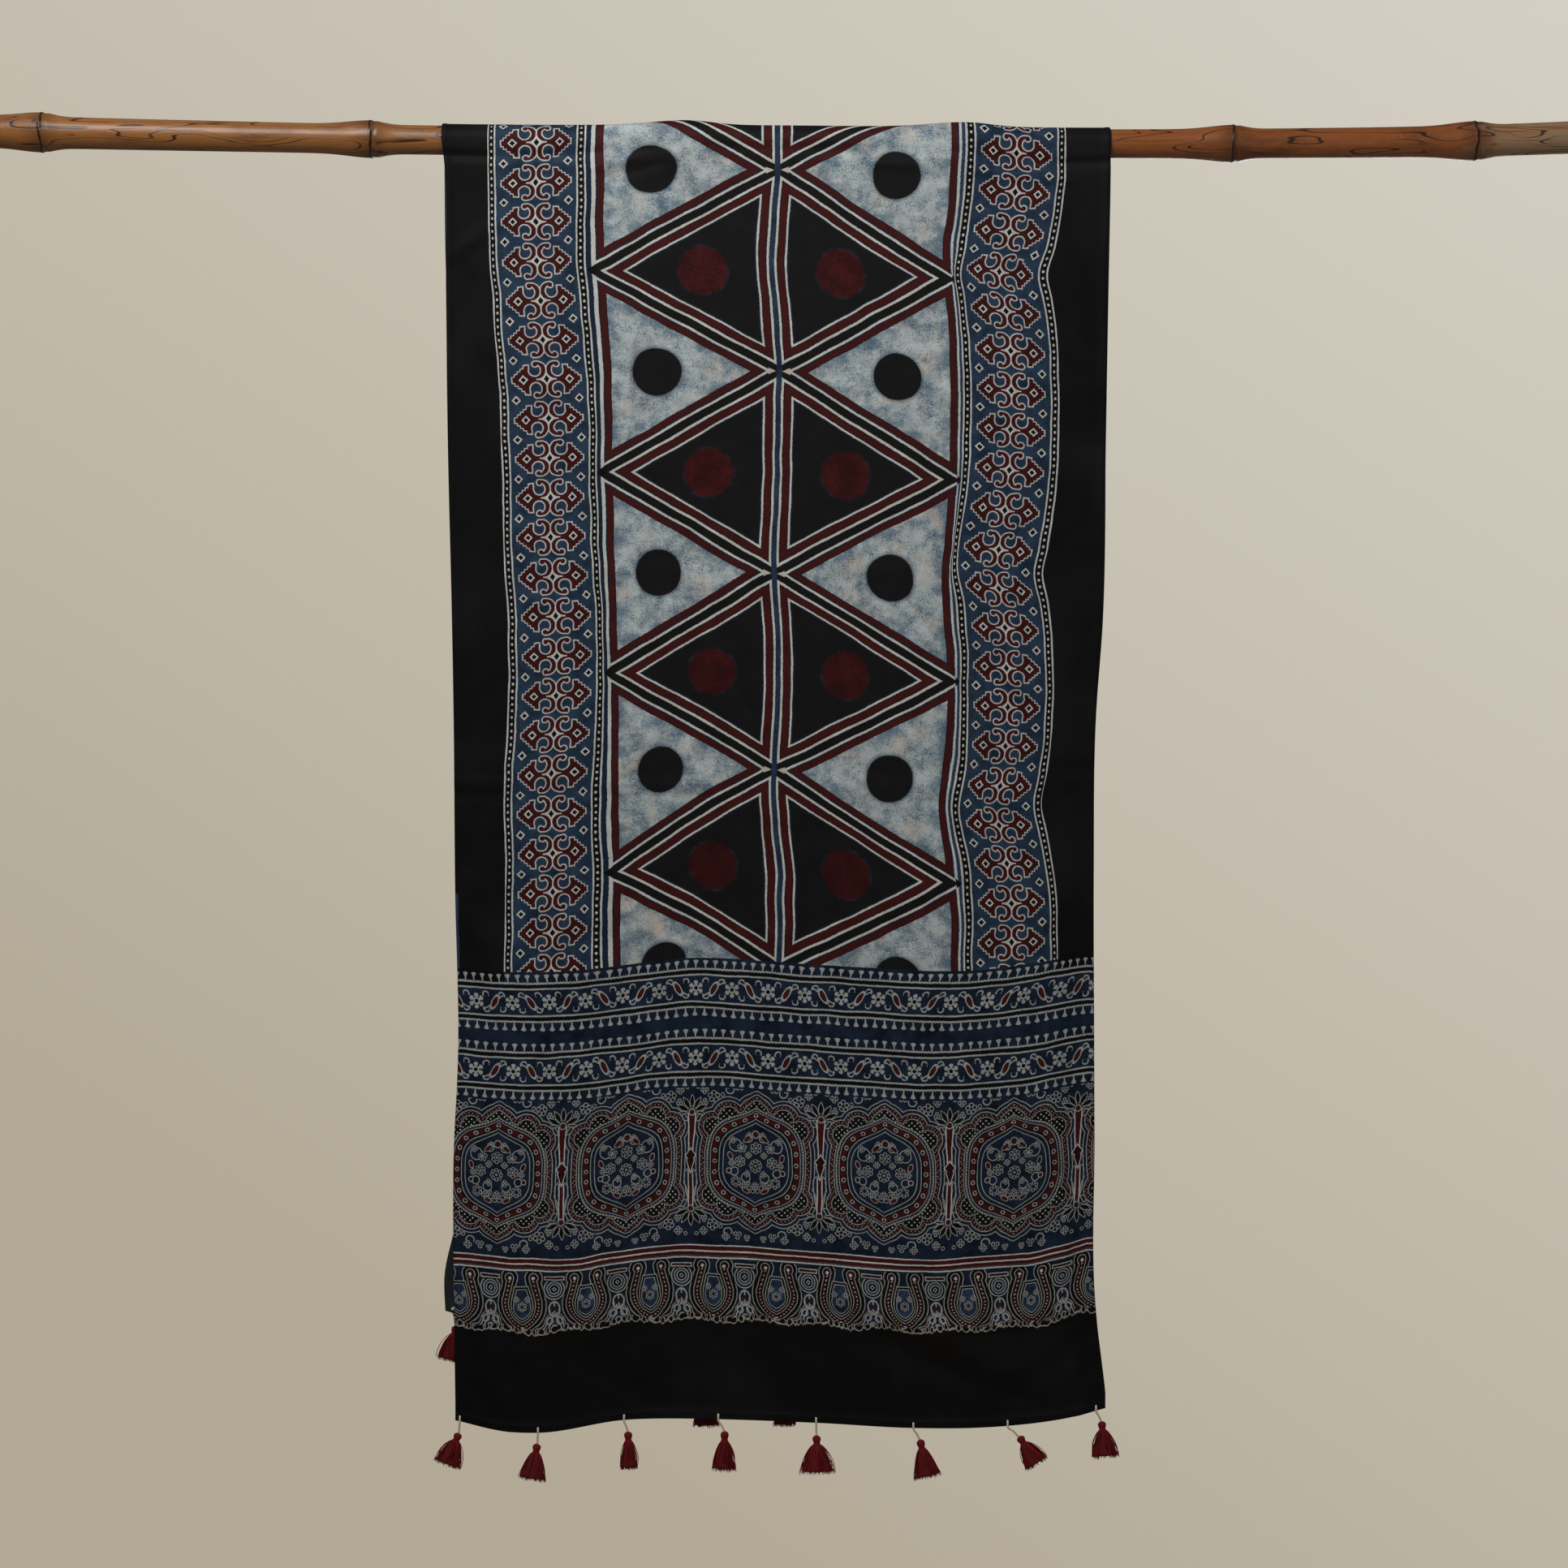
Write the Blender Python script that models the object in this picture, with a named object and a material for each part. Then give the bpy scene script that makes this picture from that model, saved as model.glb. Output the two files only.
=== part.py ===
"""An ajrakh stole hung over a bamboo pole, with a row of tassels on the hem at each end.

Metres, +Z up. +X runs along the pole to the right and the front fall faces -Y.
The origin is on the pole's axis at the middle of the cloth.
"""

from collections import namedtuple

import bmesh
import bpy
import numpy as np

# Bamboo pole: a gently bowed round pole that swells at its nodes and towards its ends.
POLE_HALF_LENGTH = 0.72
POLE_RADIUS = 0.01175
POLE_SWELL = 0.0038
POLE_SIDES = 20
POLE_PLAIN_STEP = 0.045
NODE_STEP = 0.011
NODE_RISE = 0.0033
NODE_FLARE_BEFORE = 0.026
NODE_FLARE_AFTER = 0.013
NODE_REACH = 0.045
NODE_PLACES = (-0.608, -0.3347, -0.0738, 0.1576, 0.3793, 0.5802)

PoleBow = namedtuple("PoleBow", "along height")
POLE_BOW = (
    PoleBow(-0.72, 0.0098),
    PoleBow(-0.44, 0.0038),
    PoleBow(-0.30, 0.0012),
    PoleBow(0.00, 0.0000),
    PoleBow(0.28, -0.0022),
    PoleBow(0.42, -0.0018),
    PoleBow(0.58, 0.0003),
    PoleBow(0.72, 0.0055),
)

# Cloth: one sheet, its front fall, its turn over the pole and its back fall.
SHEET_THICKNESS = 0.0012
POLE_GAP = 0.0006
CLOTH_COLUMNS = 24
FRONT_ROWS = 24
TURN_ROWS = 9
BACK_ROWS = 22
TURN_LEFT = -0.2780
TURN_RIGHT = 0.2777
BRIDGE_RISE = 0.0040
BRIDGE_BEFORE = 0.040
BRIDGE_AFTER = 0.030
BRIDGE_FADE = 0.035
FALL_SPREAD = 0.004
FOLDS_START = 0.03
FOLDS_FULL = 1.02

# The side edges, by distance down from the pole's axis.
SideRow = namedtuple("SideRow", "down left right")
FRONT_SIDES = (
    SideRow(0.00, -0.2760, 0.2777),
    SideRow(0.03, -0.2725, 0.2774),
    SideRow(0.12, -0.2720, 0.2757),
    SideRow(0.25, -0.2705, 0.2735),
    SideRow(0.40, -0.2670, 0.2710),
    SideRow(0.48, -0.2656, 0.2655),
    SideRow(0.62, -0.2643, 0.2636),
    SideRow(0.76, -0.2618, 0.2640),
    SideRow(0.84, -0.2654, 0.2643),
    SideRow(0.97, -0.2650, 0.2646),
    SideRow(1.05, -0.2640, 0.2735),
)
BACK_SIDES = (
    SideRow(0.00, -0.2775, 0.2775),
    SideRow(0.10, -0.2762, 0.2740),
    SideRow(0.20, -0.2710, 0.2715),
    SideRow(0.40, -0.2655, 0.2680),
    SideRow(0.60, -0.2625, 0.2620),
    SideRow(0.80, -0.2630, 0.2615),
    SideRow(0.90, -0.2672, 0.2610),
    SideRow(0.945, -0.2765, 0.2610),
    SideRow(0.975, -0.2757, 0.2615),
)

# The hems, by place across the cloth.
HemRow = namedtuple("HemRow", "across height")
FRONT_HEM = (
    HemRow(-0.262, -1.0590),
    HemRow(-0.221, -1.0668),
    HemRow(-0.196, -1.0677),
    HemRow(-0.125, -1.0586),
    HemRow(-0.066, -1.0582),
    HemRow(0.034, -1.0604),
    HemRow(0.114, -1.0637),
    HemRow(0.193, -1.0624),
    HemRow(0.248, -1.0557),
    HemRow(0.274, -1.0500),
)
BACK_HEM = (
    HemRow(-0.276, -0.9735),
    HemRow(-0.235, -0.9850),
    HemRow(-0.160, -1.0150),
    HemRow(-0.057, -1.0295),
    HemRow(0.010, -1.0290),
    HemRow(0.090, -1.0205),
    HemRow(0.190, -1.0140),
    HemRow(0.264, -1.0095),
)

# Long soft folds: each is a ridge (towards the viewer of its fall) or a trough, at full depth at the hem.
Fold = namedtuple("Fold", "name across half_width outward")
FRONT_FOLDS = (
    Fold("left edge turned back", -0.280, 0.028, -0.006),
    Fold("left ridge", -0.200, 0.060, 0.008),
    Fold("middle trough", -0.080, 0.070, -0.006),
    Fold("right ridge", 0.130, 0.080, 0.008),
    Fold("right edge turned back", 0.285, 0.035, -0.013),
)
BACK_FOLDS = (
    Fold("left corner lifted", -0.285, 0.045, 0.010),
    Fold("left trough", -0.170, 0.060, -0.003),
    Fold("middle ridge", -0.040, 0.070, 0.007),
    Fold("right trough", 0.110, 0.060, -0.003),
    Fold("right edge ridge", 0.240, 0.050, 0.006),
)

# Tassels: where each hangs on its hem, where its head is, and the middle of its skirt's lower end.
CORD_DIAMETER = 0.0022
CORD_GAP = 0.0009
HEAD_GAP = 0.0004
CORD_POINTS = 4
TASSEL_SIDES = 8
SKIRT_DEPTH = 0.62

Tassel = namedtuple("Tassel", "hang_x head_x head_z tip_x tip_z half_width")
FRONT_TASSELS = (
    Tassel(-0.2602, -0.2610, -1.0690, -0.2715, -1.0965, 0.0125),
    Tassel(-0.1952, -0.1958, -1.0765, -0.2005, -1.1075, 0.0125),
    Tassel(-0.1247, -0.1214, -1.0680, -0.1207, -1.1000, 0.0080),
    Tassel(-0.0469, -0.0416, -1.0680, -0.0426, -1.1020, 0.0110),
    Tassel(0.0339, 0.0342, -1.0705, 0.0352, -1.1030, 0.0165),
    Tassel(0.1140, 0.1194, -1.0730, 0.1262, -1.1055, 0.0125),
    Tassel(0.1918, 0.2012, -1.0710, 0.2165, -1.0950, 0.0115),
    Tassel(0.2656, 0.2703, -1.0605, 0.2730, -1.0915, 0.0130),
)
BACK_TASSELS = (
    Tassel(-0.2690, -0.2665, -0.9860, -0.2735, -1.0175, 0.0110),
    Tassel(-0.1985, -0.1990, -1.0120, -0.1980, -1.0430, 0.0120),
    Tassel(-0.1275, -0.1250, -1.0320, -0.1235, -1.0620, 0.0110),
    Tassel(-0.0570, -0.0575, -1.0410, -0.0573, -1.0725, 0.0125),
    Tassel(0.0080, 0.0075, -1.0405, 0.0080, -1.0715, 0.0105),
    Tassel(0.0840, 0.0825, -1.0325, 0.0800, -1.0635, 0.0120),
    Tassel(0.1610, 0.1620, -1.0270, 0.1645, -1.0580, 0.0125),
    Tassel(0.2450, 0.2440, -1.0225, 0.2420, -1.0530, 0.0110),
)

# A tassel's outline from the top of its head to the ends of its strands.
TasselRing = namedtuple("TasselRing", "share radius of_skirt")
TASSEL_RINGS = (
    TasselRing(0.00, 0.0016, 0.0),
    TasselRing(0.07, 0.0036, 0.0),
    TasselRing(0.17, 0.0040, 0.0),
    TasselRing(0.27, 0.0028, 0.0),
    TasselRing(0.40, 0.0026, 0.25),
    TasselRing(0.72, 0.0012, 0.72),
    TasselRing(1.00, 0.0000, 1.0),
)

# Colours (linear) and finishes.
CLOTH_LOOK = ("ajrakh_print", (0.018, 0.030, 0.060, 1.0), 0.62)
POLE_LOOK = ("bamboo", (0.360, 0.150, 0.045, 1.0), 0.38)
TASSEL_LOOK = ("tassel_thread", (0.110, 0.008, 0.014, 1.0), 0.75)
CORD_LOOK = ("tassel_cord", (0.640, 0.580, 0.470, 1.0), 0.80)


def clear_objects():
    """Empties the scene of whatever it starts with."""
    for thing in list(bpy.data.objects):
        bpy.data.objects.remove(thing, do_unlink=True)


def finish_of(look):
    """A Principled material from a look's name, colour and roughness."""
    name, colour, roughness = look
    material = bpy.data.materials.new(name)
    material.use_nodes = True
    shader = material.node_tree.nodes["Principled BSDF"]
    shader.inputs["Base Color"].default_value = colour
    shader.inputs["Roughness"].default_value = roughness
    shader.inputs["Metallic"].default_value = 0.0
    material.diffuse_color = colour
    return material


def smooth_at(places, values, at):
    """A cubic through the rows, each row's slope taken from its neighbours."""
    places = np.asarray(places, dtype=float)
    values = np.asarray(values, dtype=float)
    slopes = np.gradient(values, places)
    row = np.clip(np.searchsorted(places, at) - 1, 0, len(places) - 2)
    span = places[row + 1] - places[row]
    part = np.clip((at - places[row]) / span, 0.0, 1.0)
    rest = 1.0 - part
    ends = (1 + 2 * part) * rest**2 * values[row] + part**2 * (3 - 2 * part) * values[row + 1]
    return ends + span * (part * rest**2 * slopes[row] - part**2 * rest * slopes[row + 1])


def column(rows, name):
    """One named column of a table."""
    return [getattr(row, name) for row in rows]


def uneven_bell(offset, before, after):
    """A bell of height 1 that is wider on one side of its middle than on the other."""
    width = np.where(offset < 0, before, after)
    return np.exp(-((offset / width) ** 2))


def swelling(along, before, after):
    """How far a node stands up at a place along the pole, as a share of its full rise."""
    return sum(uneven_bell(along - place, before, after) for place in NODE_PLACES)


def pole_plain_radius(along):
    """The pole's radius away from its nodes: least in the middle, growing towards both ends."""
    return POLE_RADIUS + POLE_SWELL * along**2


def pole_radius(along):
    """The pole's radius, nodes and all."""
    return pole_plain_radius(along) + NODE_RISE * swelling(along, NODE_FLARE_BEFORE, NODE_FLARE_AFTER)


def pole_height(along):
    """The height of the pole's bowed axis."""
    return smooth_at(column(POLE_BOW, "along"), column(POLE_BOW, "height"), along)


def closed_skin(name, rings):
    """A closed body through rings of points, each ring counter-clockwise about the way it travels."""
    mesh = bpy.data.meshes.new(name)
    shape = bmesh.new()
    loops = [[shape.verts.new(point) for point in ring] for ring in rings]
    sides = len(loops[0])
    for lower, upper in zip(loops, loops[1:]):
        for k in range(sides):
            after = (k + 1) % sides
            shape.faces.new((lower[k], lower[after], upper[after], upper[k]))
    shape.faces.new(list(reversed(loops[0])))
    shape.faces.new(loops[-1])
    bmesh.ops.recalc_face_normals(shape, faces=shape.faces)
    shape.to_mesh(mesh)
    shape.free()
    return mesh


def add_object(name, mesh, material):
    """Puts a mesh in the scene under its node's name, smooth except at sharp corners."""
    mesh.materials.append(material)
    mesh.shade_smooth()
    mesh.set_sharp_from_angle(angle=np.radians(50))
    thing = bpy.data.objects.new(name, mesh)
    bpy.context.collection.objects.link(thing)
    return thing


def pole_stations():
    """Places of the pole's rings: close together round each node and wide apart between nodes."""
    plain = np.arange(-POLE_HALF_LENGTH, POLE_HALF_LENGTH, POLE_PLAIN_STEP)
    away = [place for place in plain if min(abs(place - node) for node in NODE_PLACES) > NODE_REACH]
    near = [
        node + step * NODE_STEP
        for node in NODE_PLACES
        for step in (-4, -3, -2, -1, 0, 1, 2, 3)
    ]
    return sorted(away + near + [POLE_HALF_LENGTH])


def make_pole(material):
    """The bamboo pole: rings square to X along the bowed axis, with flat cut ends."""
    turn = np.linspace(0, 2 * np.pi, POLE_SIDES, endpoint=False)
    rings = []
    for along in pole_stations():
        radius = pole_radius(along)
        height = pole_height(along)
        rings.append([(along, radius * np.cos(a), height + radius * np.sin(a)) for a in turn])
    return add_object("bamboo_pole", closed_skin("bamboo_pole", rings), material)


def turn_radius(along):
    """The middle of the sheet's thickness where it lies on the pole, bridging softly over the nodes."""
    lift = BRIDGE_RISE * swelling(along, BRIDGE_BEFORE, BRIDGE_AFTER)
    return pole_plain_radius(along) + lift + POLE_GAP + SHEET_THICKNESS / 2


def fold_growth(down):
    """Folds grow from nothing under the pole to their full depth at the hem."""
    share = np.clip((down - FOLDS_START) / (FOLDS_FULL - FOLDS_START), 0.0, 1.0)
    return share * share * (3 - 2 * share)


def fall_depth(folds, along, down):
    """How far a fall stands off the plane through the pole's axis, at a place and a distance down."""
    lift = BRIDGE_RISE * swelling(along, BRIDGE_BEFORE, BRIDGE_AFTER)
    plain = turn_radius(along) - lift * (1 - np.exp(-((down / BRIDGE_FADE) ** 2)))
    waves = sum(fold.outward * np.exp(-(((along - fold.across) / fold.half_width) ** 2)) for fold in folds)
    grown = fold_growth(down)
    return plain + grown * (FALL_SPREAD + waves)


def fall_point(sides, hem, folds, facing, across, share):
    """A point of a fall: across from 0 at the left to 1 at the right, share from 0 at the pole to 1 at the hem."""
    left_end = column(sides, "left")[-1]
    right_end = column(sides, "right")[-1]
    hem_place = left_end + (right_end - left_end) * across
    hem_height = smooth_at(column(hem, "across"), column(hem, "height"), hem_place)
    down = -hem_height * share
    left = smooth_at(column(sides, "down"), column(sides, "left"), down)
    right = smooth_at(column(sides, "down"), column(sides, "right"), down)
    along = left + (right - left) * across
    height = pole_height(along) * (1 - share) + hem_height * share
    return (along, facing * fall_depth(folds, along, down), height)


def turn_point(across, angle):
    """A point of the turn over the pole: angle 0 at the front, pi at the back."""
    blend = abs(np.cos(angle))
    start = FRONT_SIDES[0] if angle < np.pi / 2 else BACK_SIDES[0]
    left = TURN_LEFT + (start.left - TURN_LEFT) * blend
    right = TURN_RIGHT + (start.right - TURN_RIGHT) * blend
    along = left + (right - left) * across
    radius = turn_radius(along)
    return (along, -radius * np.cos(angle), pole_height(along) + radius * np.sin(angle))


def cloth_lines():
    """The sheet's rows of points from the front hem over the pole to the back hem."""
    across = np.linspace(0, 1, CLOTH_COLUMNS + 1)
    lines = []
    for share in np.linspace(1, 0, FRONT_ROWS + 1):
        lines.append([fall_point(FRONT_SIDES, FRONT_HEM, FRONT_FOLDS, -1, a, share) for a in across])
    for angle in np.linspace(0, np.pi, TURN_ROWS + 1)[1:-1]:
        lines.append([turn_point(a, angle) for a in across])
    for share in np.linspace(0, 1, BACK_ROWS + 1):
        lines.append([fall_point(BACK_SIDES, BACK_HEM, BACK_FOLDS, 1, a, share) for a in across])
    return lines


def make_cloth(material):
    """The stole: its sheet of points given an even thickness by a Solidify modifier."""
    mesh = bpy.data.meshes.new("stole")
    shape = bmesh.new()
    lines = [[shape.verts.new(point) for point in line] for line in cloth_lines()]
    for lower, upper in zip(lines, lines[1:]):
        for k in range(CLOTH_COLUMNS):
            shape.faces.new((lower[k], lower[k + 1], upper[k + 1], upper[k]))
    shape.to_mesh(mesh)
    shape.free()
    cloth = add_object("stole", mesh, material)
    wall = cloth.modifiers.new("sheet thickness", "SOLIDIFY")
    wall.thickness = SHEET_THICKNESS
    wall.offset = 0.0
    wall.use_even_offset = True
    return cloth


def hem_point(sides, hem, folds, facing, place):
    """The lower edge of a fall at a place across it."""
    height = smooth_at(column(hem, "across"), column(hem, "height"), place)
    return np.array((place, facing * fall_depth(folds, place, -height), height))


def make_tassel(name, head, tip, half_width, material):
    """A tassel: round head, tied neck and a skirt of strands that widens to a flat oval end."""
    down = (tip - head) / np.linalg.norm(tip - head)
    side = np.cross((0.0, 1.0, 0.0), down)
    side /= np.linalg.norm(side)
    ahead = np.cross(down, side)
    turn = np.linspace(0, 2 * np.pi, TASSEL_SIDES, endpoint=False)
    rings = []
    for ring in TASSEL_RINGS:
        middle = head + (tip - head) * ring.share
        wide = ring.radius + ring.of_skirt * half_width
        deep = ring.radius + ring.of_skirt * half_width * SKIRT_DEPTH
        rings.append([middle + wide * np.cos(a) * side + deep * np.sin(a) * ahead for a in turn])
    return add_object(name, closed_skin(name, rings), material)


def make_cord(name, start, end, material):
    """A short straight tassel cord: a tube with filled ends."""
    curve = bpy.data.curves.new(name, "CURVE")
    curve.dimensions = "3D"
    curve.bevel_depth = CORD_DIAMETER / 2
    curve.bevel_resolution = 2
    curve.use_fill_caps = True
    spline = curve.splines.new("POLY")
    spline.points.add(CORD_POINTS - 1)
    for k in range(CORD_POINTS):
        place = start + (end - start) * k / (CORD_POINTS - 1)
        spline.points[k].co = (*place, 1.0)
    curve.materials.append(material)
    thing = bpy.data.objects.new(name, curve)
    bpy.context.collection.objects.link(thing)
    return thing


def make_tassel_row(label, tassels, sides, hem, folds, facing, thread, cord):
    """One hem's tassels, each on its own short cord."""
    for number, row in enumerate(tassels, start=1):
        hang = hem_point(sides, hem, folds, facing, row.hang_x)
        head = np.array((row.head_x, hang[1], row.head_z))
        tip = np.array((row.tip_x, hang[1], row.tip_z))
        pull = (head - hang) / np.linalg.norm(head - hang)
        make_tassel(f"tassel_{label}_{number}", head, tip, row.half_width, thread)
        top = hang + pull * (CORD_GAP + SHEET_THICKNESS / 2)
        foot = head - pull * HEAD_GAP - np.array((0.0, 0.0, -CORD_DIAMETER * 0.3))
        make_cord(f"tassel_cord_{label}_{number}", top, foot, cord)


clear_objects()
make_pole(finish_of(POLE_LOOK))
make_cloth(finish_of(CLOTH_LOOK))
tassel_thread = finish_of(TASSEL_LOOK)
tassel_cord = finish_of(CORD_LOOK)
make_tassel_row(
    "front", FRONT_TASSELS, FRONT_SIDES, FRONT_HEM, FRONT_FOLDS, -1, tassel_thread, tassel_cord
)
make_tassel_row(
    "back", BACK_TASSELS, BACK_SIDES, BACK_HEM, BACK_FOLDS, 1, tassel_thread, tassel_cord
)
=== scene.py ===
"""An ajrakh stole hung over a bamboo pole: the looks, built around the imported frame.

Metres, +Z up, the frame's own origin on the pole's axis at the middle of the cloth.
The stole is one thin sheet worked out from its print: a place on the cloth is (across, along), with across
from the left edge and along from the front hem, over the pole, to the back hem.
"""

from collections import namedtuple

import bpy
import numpy as np
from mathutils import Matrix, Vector


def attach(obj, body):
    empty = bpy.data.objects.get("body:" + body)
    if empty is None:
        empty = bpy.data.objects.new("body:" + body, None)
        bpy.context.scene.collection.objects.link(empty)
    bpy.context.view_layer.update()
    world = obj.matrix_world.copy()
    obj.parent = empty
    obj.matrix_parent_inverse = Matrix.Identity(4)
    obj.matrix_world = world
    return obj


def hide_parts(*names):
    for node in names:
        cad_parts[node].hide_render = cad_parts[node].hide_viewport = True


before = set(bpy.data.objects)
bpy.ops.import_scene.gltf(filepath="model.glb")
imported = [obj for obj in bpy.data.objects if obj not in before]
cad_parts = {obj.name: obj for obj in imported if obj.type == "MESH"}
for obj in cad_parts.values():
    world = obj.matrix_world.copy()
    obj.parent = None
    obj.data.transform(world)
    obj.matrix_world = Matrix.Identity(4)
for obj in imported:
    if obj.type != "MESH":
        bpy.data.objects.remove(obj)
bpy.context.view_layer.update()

# ---------------------------------------------------------------------------------------------------------
# Sizes that the part also holds: the pole, the falls, the hems, the long folds and the tassels.
# ---------------------------------------------------------------------------------------------------------
POLE_HALF_LENGTH = 0.72
POLE_RADIUS = 0.01175
POLE_SWELL = 0.0038
NODE_RISE = 0.0033
NODE_FLARE_BEFORE = 0.026
NODE_FLARE_AFTER = 0.013
NODE_PLACES = (-0.608, -0.3347, -0.0738, 0.1576, 0.3793, 0.5802)

PoleBow = namedtuple("PoleBow", "along height")
POLE_BOW = (
    PoleBow(-0.72, 0.0098),
    PoleBow(-0.44, 0.0038),
    PoleBow(-0.30, 0.0012),
    PoleBow(0.00, 0.0000),
    PoleBow(0.28, -0.0022),
    PoleBow(0.42, -0.0018),
    PoleBow(0.58, 0.0003),
    PoleBow(0.72, 0.0055),
)

SOLID_THICKNESS = 0.0012
POLE_GAP = 0.0006
TURN_LEFT = -0.2780
TURN_RIGHT = 0.2777
BRIDGE_RISE = 0.0040
BRIDGE_BEFORE = 0.040
BRIDGE_AFTER = 0.030
BRIDGE_FADE = 0.035
FALL_SPREAD = 0.004
FOLDS_START = 0.03
FOLDS_FULL = 1.02

SideRow = namedtuple("SideRow", "down left right")
FRONT_SIDES = (
    SideRow(0.00, -0.2760, 0.2777),
    SideRow(0.03, -0.2725, 0.2774),
    SideRow(0.12, -0.2720, 0.2757),
    SideRow(0.25, -0.2705, 0.2735),
    SideRow(0.40, -0.2670, 0.2710),
    SideRow(0.48, -0.2656, 0.2655),
    SideRow(0.62, -0.2643, 0.2636),
    SideRow(0.76, -0.2618, 0.2640),
    SideRow(0.84, -0.2654, 0.2643),
    SideRow(0.97, -0.2650, 0.2646),
    SideRow(1.05, -0.2640, 0.2735),
)
BACK_SIDES = (
    SideRow(0.00, -0.2775, 0.2775),
    SideRow(0.10, -0.2762, 0.2740),
    SideRow(0.20, -0.2710, 0.2715),
    SideRow(0.40, -0.2655, 0.2680),
    SideRow(0.60, -0.2625, 0.2620),
    SideRow(0.80, -0.2630, 0.2615),
    SideRow(0.90, -0.2672, 0.2610),
    SideRow(0.945, -0.2765, 0.2610),
    SideRow(0.975, -0.2757, 0.2615),
)

HemRow = namedtuple("HemRow", "across height")
FRONT_HEM = (
    HemRow(-0.262, -1.0590),
    HemRow(-0.221, -1.0668),
    HemRow(-0.196, -1.0677),
    HemRow(-0.125, -1.0586),
    HemRow(-0.066, -1.0582),
    HemRow(0.034, -1.0604),
    HemRow(0.114, -1.0637),
    HemRow(0.193, -1.0624),
    HemRow(0.248, -1.0557),
    HemRow(0.274, -1.0500),
)
BACK_HEM = (
    HemRow(-0.276, -0.9735),
    HemRow(-0.235, -0.9850),
    HemRow(-0.160, -1.0150),
    HemRow(-0.057, -1.0295),
    HemRow(0.010, -1.0290),
    HemRow(0.090, -1.0205),
    HemRow(0.190, -1.0140),
    HemRow(0.264, -1.0095),
)

Fold = namedtuple("Fold", "name across half_width outward")
FRONT_FOLDS = (
    Fold("left edge turned back", -0.280, 0.028, -0.006),
    Fold("left ridge", -0.200, 0.060, 0.008),
    Fold("middle trough", -0.080, 0.070, -0.006),
    Fold("right ridge", 0.130, 0.080, 0.008),
    Fold("right edge turned back", 0.285, 0.035, -0.013),
)
BACK_FOLDS = (
    Fold("left corner lifted", -0.285, 0.045, 0.010),
    Fold("left trough", -0.170, 0.060, -0.003),
    Fold("middle ridge", -0.040, 0.070, 0.007),
    Fold("right trough", 0.110, 0.060, -0.003),
    Fold("right edge ridge", 0.240, 0.050, 0.006),
)

Tassel = namedtuple("Tassel", "hang_x head_x head_z tip_x tip_z half_width")
FRONT_TASSELS = (
    Tassel(-0.2602, -0.2610, -1.0690, -0.2715, -1.0965, 0.0125),
    Tassel(-0.1952, -0.1958, -1.0765, -0.2005, -1.1075, 0.0125),
    Tassel(-0.1247, -0.1214, -1.0680, -0.1207, -1.1000, 0.0080),
    Tassel(-0.0469, -0.0416, -1.0680, -0.0426, -1.1020, 0.0110),
    Tassel(0.0339, 0.0342, -1.0705, 0.0352, -1.1030, 0.0165),
    Tassel(0.1140, 0.1194, -1.0730, 0.1262, -1.1055, 0.0125),
    Tassel(0.1918, 0.2012, -1.0710, 0.2165, -1.0950, 0.0115),
    Tassel(0.2656, 0.2703, -1.0605, 0.2730, -1.0915, 0.0130),
)
BACK_TASSELS = (
    Tassel(-0.2690, -0.2665, -0.9860, -0.2735, -1.0175, 0.0110),
    Tassel(-0.1985, -0.1990, -1.0120, -0.1980, -1.0430, 0.0120),
    Tassel(-0.1275, -0.1250, -1.0320, -0.1235, -1.0620, 0.0110),
    Tassel(-0.0570, -0.0575, -1.0410, -0.0573, -1.0725, 0.0125),
    Tassel(0.0080, 0.0075, -1.0405, 0.0080, -1.0715, 0.0105),
    Tassel(0.0840, 0.0825, -1.0325, 0.0800, -1.0635, 0.0120),
    Tassel(0.1610, 0.1620, -1.0270, 0.1645, -1.0580, 0.0125),
    Tassel(0.2450, 0.2440, -1.0225, 0.2420, -1.0530, 0.0110),
)
SKIRT_DEPTH = 0.62

# The back tassels are cut shorter, so that the ones behind the front hem stay behind it.
BACK_TRIM = 0.0015

# ---------------------------------------------------------------------------------------------------------
# The cloth as it is cut and printed, and how its print hangs.
# ---------------------------------------------------------------------------------------------------------
CLOTH_WIDTH = 0.5439
FRONT_LENGTH = 1.0637
TURN_LENGTH = 0.0405
BACK_LENGTH = 1.0295
CLOTH_LENGTH = FRONT_LENGTH + TURN_LENGTH + BACK_LENGTH

# Where the zones of the print meet.
ZONE_COLUMNS = (0.0456, 0.1315, 0.4202, 0.5044)
PAISLEY_FROM = 0.0770
MEDALLION_FROM = 0.1300
BAND_FROM = 0.2700
FIELD_FROM = 0.3760

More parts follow.
